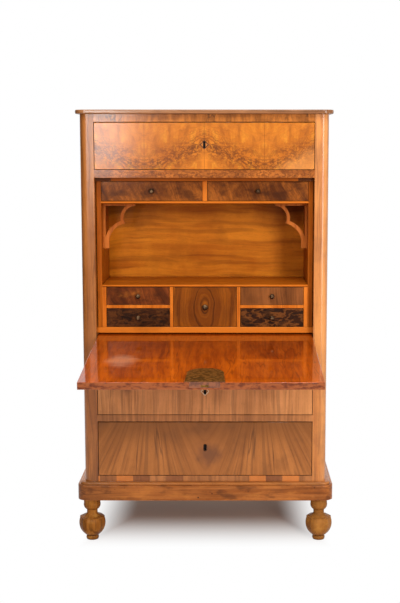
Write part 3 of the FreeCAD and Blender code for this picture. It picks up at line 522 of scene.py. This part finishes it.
def burl_curls(paint, colour):
    """Winding brown strokes on nearly black burl, fewer of them on the left."""
    cloud = paint.noise(paint.x * 16, paint.y, paint.z * 26, detail=4)
    strokes = squiggles(paint, paint.x * 22 + cloud * 2, paint.z * 40, 0.07)
    side = paint.step(paint.x, -0.1, 0.1)
    colour = paint.mix(colour, CURL_STROKE, strokes * (side * 0.35 + 0.3))
    return paint.mix(colour, CURL_SHADE, paint.step(cloud, 0.5, 0.64) * 0.7)


BLOCK_LENGTH = 62 * MM
BLOCK_SHIFT = 0.35


def crossbands(paint, colour):
    """Short blocks of veneer, light and dark by turns."""
    block = paint.figure("FLOOR", paint.x / BLOCK_LENGTH + BLOCK_SHIFT)
    odd = paint.figure("PINGPONG", block, 1.0)
    share = paint.chance(block) * 0.5 + odd * 0.5
    colour = paint.mix(colour, LIGHT_BLOCK, paint.step(share, 0.55, 0.8) * 0.7)
    return paint.mix(colour, DARK_BLOCK, paint.step(share, 0.4, 0.1) * 0.6)


KNOT_X = -0.29
KNOT_DROP = 0.05


def knot(paint, colour):
    """A dark knot near the upper left corner of the middle drawer."""
    side = (paint.x - KNOT_X) * 1.6
    rise = paint.z - MIDDLE_DRAWER[1].z + KNOT_DROP
    near = paint.length(side, rise) + (paint.speckle(40) - 0.5) * 0.03
    colour = paint.mix(colour, KNOT_HALO, paint.step(near, 0.05, 0.02) * 0.7)
    return paint.mix(colour, KNOT_HEART, paint.step(near, 0.014, 0.006))


HEART_X = 0.012
HEART_RISE = 0.08


def heart_patch(paint, colour):
    """The dark heart that the two fans of the bottom drawer close on, below its keyhole, and a painted
    shadow of the fall along the drawer's upper part.
    """
    height = paint.z - BOTTOM_DRAWER[0].z
    cloud = paint.noise(paint.x * 30, paint.y, paint.z * 22, detail=4) - 0.5
    near = paint.length(paint.x - HEART_X, (height - HEART_RISE) * 1.2) + cloud * 0.07
    colour = paint.mix(colour, FAN_MIDDLE, paint.step(abs(paint.x), 0.1, 0.02) * 0.5)
    # Painted shadow of the fall: darker towards the top of the drawer.
    colour = paint.mix(colour, FALL_SHADOW_TONE, paint.step(height, 0.07, 0.2) * 0.7)
    return paint.mix(colour, FAN_HEART, paint.step(near, 0.07, 0.01) * 0.65)


def bowl_wear_and_light(paint, colour):
    """Bare pale wood in patches where the polish of a foot is worn away, and painted light that makes the
    right foot paler.
    """
    patch = paint.speckle(28, detail=4)
    right = paint.step(paint.x, 0.0, FOOT_X)
    # Painted light: the right foot paler than the left.
    colour = paint.mix(colour, RIGHT_FOOT_LIGHT, right * 0.4)
    return paint.mix(colour, BARE_FOOT, paint.step(patch, 0.5, 0.66) * 0.5)


MOULDING = 9 * MM
MOULDING_SEAM = 1 * MM
SHADED_LENGTH = 0.25


def plinth_marks(paint, colour):
    """Small worm holes and bruises in the plinth, a painted highlight along the moulding on top of it and
    painted shade at its left end.
    """
    hole = paint.step(paint.speckle(95, detail=1), 0.74, 0.78)
    bruise = paint.noise(paint.x * 16, paint.y * 30, paint.z * 40, detail=5)
    colour = paint.mix(colour, BRUISE, paint.step(bruise, 0.52, 0.68) * 0.6)
    colour = paint.mix(colour, RUBBED_PLINTH, paint.step(bruise, 0.46, 0.32) * 0.4)
    # Painted highlight along the moulding on top.
    seam = PLINTH[1].z - MOULDING
    colour = paint.mix(colour, MOULDING_HIGHLIGHT, paint.step(paint.z, seam, seam + MOULDING_SEAM) * 0.5)
    # Painted shade towards the left end.
    left = PLINTH[0].x
    colour = paint.mix(colour, SHADED_PLINTH, paint.step(paint.x, left + SHADED_LENGTH, left) * 0.5)
    return paint.mix(colour, WORM_HOLE, hole)


CORNER_START = 0.2
CORNER_FULL = 0.04
SHADE_START = 0.14
SHADE_FULL = 0.01


def painted_niche_shade(paint, colour):
    """Painted shade along the top of the niche, under the upper shelf, deepest in the corners behind the
    brackets.
    """
    corner = paint.step(abs(paint.x), NICHE_HALF - CORNER_START, NICHE_HALF - CORNER_FULL)
    high = paint.step(paint.z, NICHE_TOP - SHADE_START, NICHE_TOP - SHADE_FULL)
    return paint.mix(colour, NICHE_SHADE, high * (corner * 0.5 + 0.35))


PAD_LENGTH = 58 * MM
PAD_SEAM = 0.5 * MM


def dark_pads(paint, colour):
    """Dark pads at the ends of the strip that the closed fall rests on."""
    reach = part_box("fall_stop")[1].x - PAD_LENGTH
    return paint.mix(colour, DARK_PAD, paint.step(abs(paint.x), reach - PAD_SEAM, reach) * 0.85)


def painted_round_highlight(paint, colour):
    """A painted highlight along the rounded corner of a post, paler than its flat."""
    turned = paint.step(paint.facing_x, 0.05, 0.3) * paint.step(paint.facing_x, 0.95, 0.6)
    return paint.mix(colour, ROUND_HIGHLIGHT, turned * 0.25)


def dusty_top(paint, colour):
    """The flat of the top, where dust and light have dulled the polish that its edge still has."""
    flat = paint.step(paint.facing_z, 0.6, 0.95)
    paint.kept = 1 - flat * 0.85
    return paint.mix(colour, DUST, flat * 0.35)


def bright_nosing(paint, colour):
    """Front faces made brighter on boards that are darker inside the desk."""
    front = paint.step(paint.facing_y, -0.4, -0.9)
    return paint.mix(colour, BRIGHT_NOSING, front * 0.7)


DEEPENS_FROM = 0.15
REFLECTION_X = -0.276
REFLECTION_DEPTH = 0.26
PLUME_RISE = 0.45


def fall_faces(paint, colour):
    """The writing face is cherry with a painted reflection, a pale hazy patch; the outer face walnut, the
    edges dark and scuffed.
    """
    front = FALL[0].y
    colour = paint.mix(colour, FALL_BACK, paint.step(paint.y, front + DEEPENS_FROM, FALL[1].y) * 0.7)
    smear = paint.noise(paint.x * 14, paint.y * 30, paint.z, detail=5) - 0.5
    back = (paint.y - front - REFLECTION_DEPTH) * 0.75
    # A painted reflection: rubbed is how far a point lies from the middle of this pale patch.
    rubbed = paint.length(paint.x - REFLECTION_X, back) + smear * 0.08
    colour = paint.mix(colour, PAINTED_REFLECTION, paint.step(rubbed, 0.07, 0.02) * 0.45)
    outside = paint.step(paint.facing_z, -0.3, -0.7)
    edge = paint.step(abs(paint.facing_z), 0.7, 0.4)
    scuff = paint.step(paint.noise(paint.x * 60, paint.y * 60, paint.z * 160, detail=4), 0.42, 0.66)
    plume = paint.length(paint.x, (paint.y - front) * PLUME_RISE)
    walnut, _ = grain(paint, paint.y, plume, paint.z, WALNUT, wave=0.08, streaks=0.8)
    colour = paint.mix(colour, walnut, outside)
    border = paint.mix(*FALL_EDGE, scuff)
    paint.kept = 1 - edge * 0.85
    return paint.mix(colour, border, edge)


POLISHED = {"sheen": 0.1, "coat": (0.45, 0.14)}
LEFT_POLISH = {"sheen": 0.1, "coat": (0.7, 0.24)}
RIGHT_POLISH = {"sheen": 0.1, "coat": (0.8, 0.26)}
FALL_POLISH = {"sheen": 0.03, "coat": (1.0, 0.05)}
WORN_POLISH = {"sheen": 0.04, "coat": (0.05, 0.25)}
# Edges darkened towards the wood's dark tone.
DARK_EDGED = {"edge": 2, "rub": 0.8}
SATIN = {"sheen": 0.06, "coat": (0.12, 0.16), "edge": 2, "rub": 0.7}
DULL = {"sheen": 0.06, "coat": (0.0, 0.3)}
BARE = {"sheen": 0.2, "coat": (0.0, 0.3)}
materials = {
    "top": wood("top_veneer", TOP_WALNUT, sideways, dusty_top, rub=0.6, **POLISHED),
    "left_post": wood("left_post_veneer", SHADED_LEFT_WALNUT, upright, streaks=0.5, wave=0.04, **LEFT_POLISH),
    "right_post": wood("right_post_veneer", LIT_RIGHT_WALNUT, upright, painted_round_highlight, streaks=0.5, wave=0.04,
                       **RIGHT_POLISH),
    "sides": wood("side_veneer", WALNUT, upright, streaks=0.6, wave=0.05, **POLISHED),
    "plinth": wood("plinth_veneer", RED_WALNUT, sideways, plinth_marks, rub=0.8, contrast=1.2),
    "frieze": wood("frieze_veneer", FRIEZE, short_upright, streaks=0.7, contrast=1.4, **POLISHED),
    "leaves": wood("leaf_veneer", LEAF, chevrons, chevron_figure, streaks=0.2, contrast=0.6, fine=0.1,
                   **POLISHED, **DARK_EDGED),
    "burl": wood("burl_veneer", BURL, curls, burl_spots, streaks=0.3, **POLISHED),
    "fan": wood("fan_veneer", FAN_WALNUT, fan, heart_patch, streaks=0.65, contrast=0.9,
                **POLISHED, **DARK_EDGED),
    "straight": wood("straight_veneer", STRAIGHT_WALNUT, upright, knot, streaks=0.6, wave=0.03,
                     **POLISHED, **DARK_EDGED),
    "rail": wood("rail_veneer", RAIL_WALNUT, upright, streaks=0.6, wave=0.03, contrast=1.2, **POLISHED),
    "crossband": wood("crossband_veneer", RAIL_WALNUT, upright, crossbands, streaks=0.4, **POLISHED),
    "inside": wood("inside_cherry", CHERRY, wide_sideways, painted_niche_shade, wave=0.03, streaks=0.1,
                   contrast=1.2, **DULL),
    "inside_upright": wood("inside_cherry_upright", SIDE_CHERRY, upright, wave=0.03, streaks=0.2, **DULL),
    "shelf": wood("shelf_cherry", FLOOR_CHERRY, sideways, bright_nosing, streaks=0.2, contrast=1.3, **DULL),
    "stop": wood("stop_cherry", FLOOR_CHERRY, sideways, dark_pads, streaks=0.2, **DULL),
    "partition": wood("partition_cherry", EDGE_CHERRY, upright, streaks=0.2, contrast=1.3, **DULL),
    "bracket": wood("bracket_cherry", BRACKET_CHERRY, upright, wave=0.04, streaks=0.3, **DULL),
    "small": wood("small_drawer_walnut", DARK_WALNUT, feather, crotch, streaks=0.3, contrast=0.9, **SATIN),
    "small_upright": wood("upright_drawer_walnut", RED_SMALL_WALNUT, feather, crotch, streaks=0.5, **SATIN),
    "small_pale": wood("pale_drawer_walnut", PALE_SMALL_WALNUT, upright, streaks=0.4, wave=0.06, **SATIN),
    "small_burl": wood("small_drawer_burl", BURL_WALNUT, curls, burl_curls, streaks=0.3, **SATIN),
    "small_center": wood("center_drawer_walnut", CENTER_WALNUT, ellipses, streaks=0.4, **SATIN),
    "fall": wood("fall_veneer", FALL_CHERRY, inwards, fall_faces, wave=0.05, streaks=0.5, contrast=1.2,
                 **FALL_POLISH),
    "pine": wood("drawer_pine", PINE, boxed, streaks=0.2, **BARE),
    "back_pine": wood("back_pine", PINE, upright, streaks=0.3, **BARE),
    # The feet's corner darkening reaches far: painted shade under the bun and on the shoulder.
    "feet": wood("foot_wood", FOOT_WOOD, upright, bowl_wear_and_light, streaks=0.5, dirt_and_shade=0.9, rub=0.7, reach=45 * MM,
                 **WORN_POLISH),
}


# Metals and inlays

BRIGHT_EDGE = 1 * MM


def metal_colour(paint, bright, dull, tarnish):
    """Cloudy metal with darker tarnish and bright rubbed edges: its colour, clouds and height."""
    cloud = paint.speckle(90, detail=5)
    pit = paint.speckle(700, detail=2)
    colour = paint.mix(bright, dull, paint.step(cloud, 0.36, 0.6))
    colour = paint.mix(colour, tarnish, paint.step(paint.speckle(45, detail=4), 0.5, 0.68) * 0.7)
    return paint.mix(colour, bright, paint.edges(BRIGHT_EDGE) * 0.7), cloud, cloud + pit * 0.4


def metal(name, tones, roughness, relief):
    """A plain aged metal."""
    paint = Paint(name)
    colour, cloud, height = metal_colour(paint, *tones)
    paint.shader.inputs["Metallic"].default_value = 1.0
    return paint.finish(colour, cloud * 0.3 + roughness, height, relief)


LOZENGE_HALF = 18 * MM
LOZENGE_BORDER = 0.82
LOZENGE_BACK = 0.1 * MM
LOZENGE_FACE = 0.3 * MM
KEY_RISE = 5 * MM


def inlaid_lock(name, key_z, field, border):
    """Lock brass painted black round its keyhole as painted shade, with a bordered lozenge on the drawer's
    face.
    """
    paint = Paint(name)
    colour, cloud, height = metal_colour(paint, *BRASS)
    lozenge = paint.step(paint.y, FRONT_Y - LOZENGE_BACK, FRONT_Y - LOZENGE_FACE)
    side = abs(paint.x) / LOZENGE_HALF
    rise = (paint.z - key_z) / LOZENGE_HALF
    reach = side + abs(rise)
    fibre = paint.noise(paint.x * 300, paint.y * 300, paint.z * 60, detail=3)
    aged = paint.mix(border, AGED_BORDER, paint.step(fibre, 0.5, 0.7) * 0.6)
    line = paint.step(abs(reach - LOZENGE_BORDER), 0.16, 0.08)
    colour = paint.mix(colour, paint.mix(field, aged, line), lozenge)
    # Painted shade: the inside of the keyhole is painted black.
    keyhole = paint.step(side, 0.5, 0.4) * paint.step(abs(rise), 0.9, 0.8) * (1 - lozenge)
    colour = paint.mix(colour, KEYHOLE_SHADE, keyhole)
    paint.feed(paint.shader.inputs["Metallic"], (1 - lozenge) * (1 - keyhole))
    paint.shader.inputs["Specular IOR Level"].default_value = 0.15
    return paint.finish(colour, cloud * 0.3 + 0.3, height, relief=0.15 * MM)


def fall_lock_brass():
    """Olive brass plate, dull and brown on the fall's edge, with a bone lozenge outside."""
    paint = Paint("fall_lock_brass")
    colour, cloud, height = metal_colour(paint, *BRASS)
    edge = paint.step(paint.facing_y, -0.5, -0.8)
    outside = paint.step(paint.facing_z, -0.5, -0.8)
    stain = paint.mix(*BROWN_PLATE, paint.step(cloud, 0.4, 0.62))
    colour = paint.mix(colour, stain, edge)
    colour = paint.mix(colour, BONE, outside)
    paint.feed(paint.shader.inputs["Metallic"], 1 - edge * 0.9 - outside)
    return paint.finish(colour, cloud * 0.3 + 0.35, height, relief=0.3 * MM)


materials["bolt"] = metal("bolt_brass", BRASS, roughness=0.25, relief=0.1 * MM)
materials["iron"] = metal("dark_iron", IRON, roughness=0.3, relief=0.3 * MM)
materials["knob"] = metal("knob_bronze", BRONZE, roughness=0.4, relief=0.3 * MM)
LOZENGES = {
    "top": (tint(178, 106, 44), DARK_BORDER),
    "middle": (tint(160, 106, 62), PALE_BORDER),
    "bottom": (tint(84, 52, 32), DARK_BORDER),
}
for drawer, (field, border) in LOZENGES.items():
    low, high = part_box(drawer + "_drawer_front")
    key_z = (low.z + high.z) / 2 + KEY_RISE
    materials[drawer + "_inlay"] = inlaid_lock(drawer + "_lock_inlay", key_z, field, border)
materials["fall_brass"] = fall_lock_brass()


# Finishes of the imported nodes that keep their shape

FINISHES = {
    "top": ("top_board",),
    "left_post": ("left_post",),
    "right_post": ("right_post",),
    "sides": ("left_side", "right_side", "plinth_frame"),
    "plinth": ("plinth_front",),
    "frieze": ("frieze_rail",),
    "burl": ("upper_rail",),
    "rail": ("fall_rail", "middle_rail"),
    "crossband": ("bottom_rail",),
    "inside": ("inner_top", "inner_back"),
    "inside_upright": ("inner_sides",),
    "stop": ("fall_stop",),
    "bracket": ("left_bracket", "right_bracket"),
    "pine": ("bottom_board", "dust_boards", "drawer_guides", "top_drawer_box", "middle_drawer_box",
             "bottom_drawer_box"),
    "feet": ("front_left_foot", "front_right_foot", "back_feet"),
    "iron": ("pivot_sockets", "fall_pivots"),
    "top_inlay": ("top_drawer_lock",),
    "middle_inlay": ("middle_drawer_lock",),
    "bottom_inlay": ("bottom_drawer_lock",),
    "fall_brass": ("fall_lock",),
    "bolt": ("fall_bolt", "top_drawer_bolt", "middle_drawer_bolt", "bottom_drawer_bolt"),
}


def dress(node, material):
    """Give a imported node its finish."""
    for slot in nodes[node].material_slots:
        slot.material = materials[material]


for material, members in FINISHES.items():
    for member in members:
        dress(member, material)
for name, slot in SLOT_OF.items():
    if slot == "knob_metal":
        dress(name, "knob")


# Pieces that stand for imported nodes

def add_piece(name, shape, body, finishes):
    """Turn a bmesh into a piece that rides on a body."""
    mesh = bpy.data.meshes.new(name)
    bmesh.ops.recalc_face_normals(shape, faces=shape.faces[:])
    shape.to_mesh(mesh)
    shape.free()
    for finish in finishes:
        mesh.materials.append(materials[finish])
    piece = bpy.data.objects.new(name, mesh)
    bpy.context.scene.collection.objects.link(piece)
    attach(piece, body)
    return piece


def ease(shape, edges, width):
    """Round the given edges a little."""
    made = bmesh.ops.bevel(shape, geom=edges, offset=width, offset_type="OFFSET", segments=2, profile=0.5,
                           affect="EDGES", clamp_overlap=True)
    for face in made["faces"]:
        face.smooth = True


SAME_POINT = 0.001 * MM
FLAT_ANGLE = math.radians(0.5)
SHARP_ANGLE = math.radians(60)
LONG_EDGE = 20 * MM


def eased_copy(node, finish, width):
    """The node's own shape with its long sharp edges eased."""
    shape = bmesh.new()
    shape.from_mesh(nodes[node].data)
    bmesh.ops.remove_doubles(shape, verts=shape.verts[:], dist=SAME_POINT)
    bmesh.ops.dissolve_limit(shape, angle_limit=FLAT_ANGLE, verts=shape.verts[:], edges=shape.edges[:])
    for face in shape.faces:
        face.smooth = False
        face.material_index = 0
    sharp = [
        edge for edge in shape.edges
        if len(edge.link_faces) == 2
        and edge.calc_length() > LONG_EDGE
        and edge.calc_face_angle() > SHARP_ANGLE
    ]
    ease(shape, sharp, width)
    piece = add_piece(node + "_eased", shape, BODY_OF[node], [finish])
    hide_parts(node)


def add_box(shape, low, high, finish, width):
    """A box between two corners, with edges that are eased by a width.

    finish is the place of its finish in the piece's list."""
    corners = [
        shape.verts.new((x, y, z))
        for z in (low[2], high[2])
        for y in (low[1], high[1])
        for x in (low[0], high[0])
    ]
    sides = ((0, 1, 3, 2), (4, 5, 7, 6), (0, 1, 5, 4), (2, 3, 7, 6), (0, 2, 6, 4), (1, 3, 7, 5))
    faces = [shape.faces.new([corners[index] for index in side]) for side in sides]
    for face in faces:
        face.material_index = finish
    edges = list({edge for face in faces for edge in face.edges})
    ease(shape, edges, width)


EASED = {
    "top_drawer_front": ("leaves", 1.0 * MM),
    "middle_drawer_front": ("straight", 1.0 * MM),
    "bottom_drawer_front": ("fan", 1.0 * MM),
    "fall_board": ("fall", 1.5 * MM),
    "upper_shelf": ("shelf", 3 * MM),
    "niche_floor": ("shelf", 3 * MM),
    "inner_floor": ("shelf", 3 * MM),
    "nest_partitions": ("partition", 0.8 * MM),
}
for node, (finish, width) in EASED.items():
    eased_copy(node, finish, width)


SMALL_FRONT = 12 * MM
SMALL_SIDE = 7 * MM
SMALL_BOTTOM = 5 * MM
SMALL_DROP = 4 * MM
FRONT_EASE = 0.8 * MM
BOX_EASE = 0.6 * MM


def small_drawer(node, finish):
    """A small drawer: an eased veneered front, and a thin pine box behind it."""
    low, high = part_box(node)
    shape = bmesh.new()
    near = low.y + SMALL_FRONT
    rim = high.z - SMALL_DROP
    floor = low.z + SMALL_BOTTOM
    inner_left, inner_right = low.x + SMALL_SIDE, high.x - SMALL_SIDE
    add_box(shape, low, (high.x, near, high.z), finish=0, width=FRONT_EASE)
    boards = (
        ((low.x, near, low.z), (inner_left, high.y, rim)),
        ((inner_right, near, low.z), (high.x, high.y, rim)),
        ((inner_left, high.y - SMALL_SIDE, floor), (inner_right, high.y, rim)),
        ((inner_left, near, low.z), (inner_right, high.y, floor)),
    )
    for board_low, board_high in boards:
        add_box(shape, board_low, board_high, finish=1, width=BOX_EASE)
    piece = add_piece(node + "_made", shape, BODY_OF[node], [finish, "pine"])
    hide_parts(node)


SMALL_FINISHES = {
    "left_upper_drawer": "small",
    "right_upper_drawer": "small",
    "left_nest_upper_drawer": "small_upright",
    "right_nest_upper_drawer": "small_pale",
    "left_nest_lower_drawer": "small_burl",
    "right_nest_lower_drawer": "small_burl",
    "center_nest_drawer": "small_center",
}
for node, finish in SMALL_FINISHES.items():
    small_drawer(node, finish)


BACK_BOARDS = 5
BOARD_EASE = 1.5 * MM


def back_boards():
    """The back, as upright pine boards side by side."""
    low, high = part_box("back_panel")
    shape = bmesh.new()
    width = (high.x - low.x) / BACK_BOARDS
    for index in range(BACK_BOARDS):
        left = low.x + index * width
        right = left + width
        add_box(shape, (left, low.y, low.z), (right, high.y, high.z), finish=0, width=BOARD_EASE)
    piece = add_piece("back_boards", shape, "carcass", ["back_pine"])
    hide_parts("back_panel")


back_boards()


# Studio: floor, backdrop, lights and camera

def seen_rays(tree):
    """1 where the camera, a reflection or a view through glass looks, 0 for the light that spreads."""
    path = tree.nodes.new("ShaderNodeLightPath")
    seen = path.outputs["Is Camera Ray"]
    for kind in ("Glossy", "Transmission"):
        either = tree.nodes.new("ShaderNodeMath")
        either.operation = "MAXIMUM"
        tree.links.new(seen, either.inputs[0])
        tree.links.new(path.outputs[f"Is {kind} Ray"], either.inputs[1])
        seen = either.outputs[0]
    return seen


FLOOR_SIZE = 60
SHADOW_FADE = 0.1
SHADOW_FRONT = 0.32
SHADOW_BACK = (0.15, 0.6)


def make_floor():
    """A white floor that keeps only the shadow under the object."""
    bpy.ops.mesh.primitive_plane_add(size=FLOOR_SIZE)
    floor = bpy.context.object
    floor.name = "studio_floor"
    paint = Paint("studio_white")
    speck = paint.noise(paint.x * 3, paint.y * 3, paint.z, detail=4)
    paint.feed(paint.shader.inputs["Base Color"], paint.mix(*FLOOR_TONES, speck))
    paint.shader.inputs["Roughness"].default_value = 0.9
    paint.shader.inputs["Specular IOR Level"].default_value = 0.1
    beside = paint.step(abs(paint.x), FOOT_X - SHADOW_FADE, FOOT_X + SHADOW_FADE)
    before = paint.step(paint.y, FRONT_Y + SHADOW_FRONT, FRONT_Y - SHADOW_FADE)
    behind = paint.step(paint.y, BACK_Y + SHADOW_BACK[0], BACK_Y + SHADOW_BACK[1])
    openness = paint.figure("MAXIMUM", paint.figure("MAXIMUM", beside, before), behind)
    glow = paint.node("ShaderNodeEmission")
    glow.inputs["Color"].default_value = WHITE
    blend = paint.node("ShaderNodeMixShader")
    paint.feed(blend.inputs[0], openness * Number(paint, seen_rays(paint.tree)))
    paint.feed(blend.inputs[1], paint.shader.outputs[0])
    paint.feed(blend.inputs[2], glow.outputs[0])
    paint.feed(paint.tree.nodes["Material Output"].inputs["Surface"], blend.outputs[0])
    floor.data.materials.append(paint.material)


def make_world(strength):
    """A white room to look at, and a softer even light from it."""
    world = bpy.data.worlds.new("studio")
    bpy.context.scene.world = world
    world.use_nodes = True
    tree = world.node_tree
    tree.nodes.clear()
    ambient = tree.nodes.new("ShaderNodeBackground")
    ambient.inputs["Strength"].default_value = strength
    shown = tree.nodes.new("ShaderNodeBackground")
    shown.inputs["Strength"].default_value = 1.0
    for background in (ambient, shown):
        background.inputs["Color"].default_value = WHITE
    blend = tree.nodes.new("ShaderNodeMixShader")
    tree.links.new(seen_rays(tree), blend.inputs[0])
    tree.links.new(ambient.outputs[0], blend.inputs[1])
    tree.links.new(shown.outputs[0], blend.inputs[2])
    output = tree.nodes.new("ShaderNodeOutputWorld")
    tree.links.new(blend.outputs[0], output.inputs["Surface"])


def softbox(name, place, target, size, power):
    """A soft rectangular lamp, its power in watts."""
    light = bpy.data.lights.new(name, "AREA")
    light.shape = "RECTANGLE"
    light.size, light.size_y = size
    light.energy = power
    lamp = bpy.data.objects.new(name, light)
    lamp.location = place
    lamp.rotation_euler = (Vector(target) - Vector(place)).to_track_quat("-Z", "Y").to_euler()
    bpy.context.scene.collection.objects.link(lamp)
    return lamp


def dark_flag(name, place, turn, size):
    """A dark studio cloth that shows only in reflections."""
    bpy.ops.mesh.primitive_plane_add(size=1, location=place, rotation=(math.pi / 2, 0, turn))
    flag = bpy.context.object
    flag.name = name
    flag.scale = (*size, 1)
    paint = Paint(name + "_cloth")
    fold = paint.noise(paint.x * 30, paint.y * 4, paint.z)
    paint.feed(paint.shader.inputs["Base Color"], paint.mix(*CLOTH_TONES, fold))
    paint.shader.inputs["Roughness"].default_value = 0.95
    flag.data.materials.append(paint.material)
    flag.visible_camera = False
    flag.visible_diffuse = False
    flag.visible_shadow = False


IMAGE_WIDTH = 400
IMAGE_HEIGHT = 603
FOCAL_PIXELS = 1189.3
AXIS_PIXEL = (229.9, 305.9)
SENSOR = 36.0
CAMERA_PLACE = Vector((0.0967, FRONT_Y - 4.3213, 1.4643))
CAMERA_DOWN = 7.572
CAMERA_TURN = 0.06


def make_camera():
    """The camera fitted to the photograph, its angles in degrees."""
    camera = bpy.data.cameras.new("camera")
    camera.sensor_fit = "HORIZONTAL"
    camera.sensor_width = SENSOR
    camera.lens = FOCAL_PIXELS / IMAGE_WIDTH * SENSOR
    camera.shift_x = (IMAGE_WIDTH / 2 - AXIS_PIXEL[0]) / IMAGE_WIDTH
    camera.shift_y = (AXIS_PIXEL[1] - IMAGE_HEIGHT / 2) / IMAGE_WIDTH
    holder = bpy.data.objects.new("camera", camera)
    holder.location = CAMERA_PLACE
    holder.rotation_euler = (math.radians(90 - CAMERA_DOWN), 0, math.radians(CAMERA_TURN))
    bpy.context.scene.collection.objects.link(holder)
    bpy.context.scene.camera = holder


# The back lamp lights the object alone, so that the floor keeps its shadow, and the polish doesn't mirror it

lit_pieces = bpy.data.collections.new("lit_pieces")
for piece in bpy.data.objects:
    if piece.type == "MESH":
        lit_pieces.objects.link(piece)
back_lamp = softbox("back_softbox", (-1.2, 3.6, 3.2), target=(0, 0.3, 0.8), size=(2.0, 1.6), power=110)
back_lamp.light_linking.receiver_collection = lit_pieces
back_lamp.visible_glossy = False

make_floor()
make_world(strength=0.22)
dark_flag("front_flag", (0, FRONT_Y - 5.5, 2.4), turn=0, size=(14, 6))
dark_flag("left_flag", (-3.6, -1.0, 2.0), turn=math.pi / 2, size=(9, 5))
softbox("left_softbox", (-0.87, -4.1, 1.9), target=(0, 0, 1.0), size=(0.45, 1.25), power=42)
softbox("right_softbox", (1.6, -3.1, 1.6), target=(0, 0, 0.9), size=(0.6, 2.5), power=75)
softbox("top_softbox", (0.2, -1.8, 3.9), target=(0, 0, 0.8), size=(2.4, 1.6), power=95)
make_camera()
bpy.context.scene.view_settings.view_transform = "Standard"
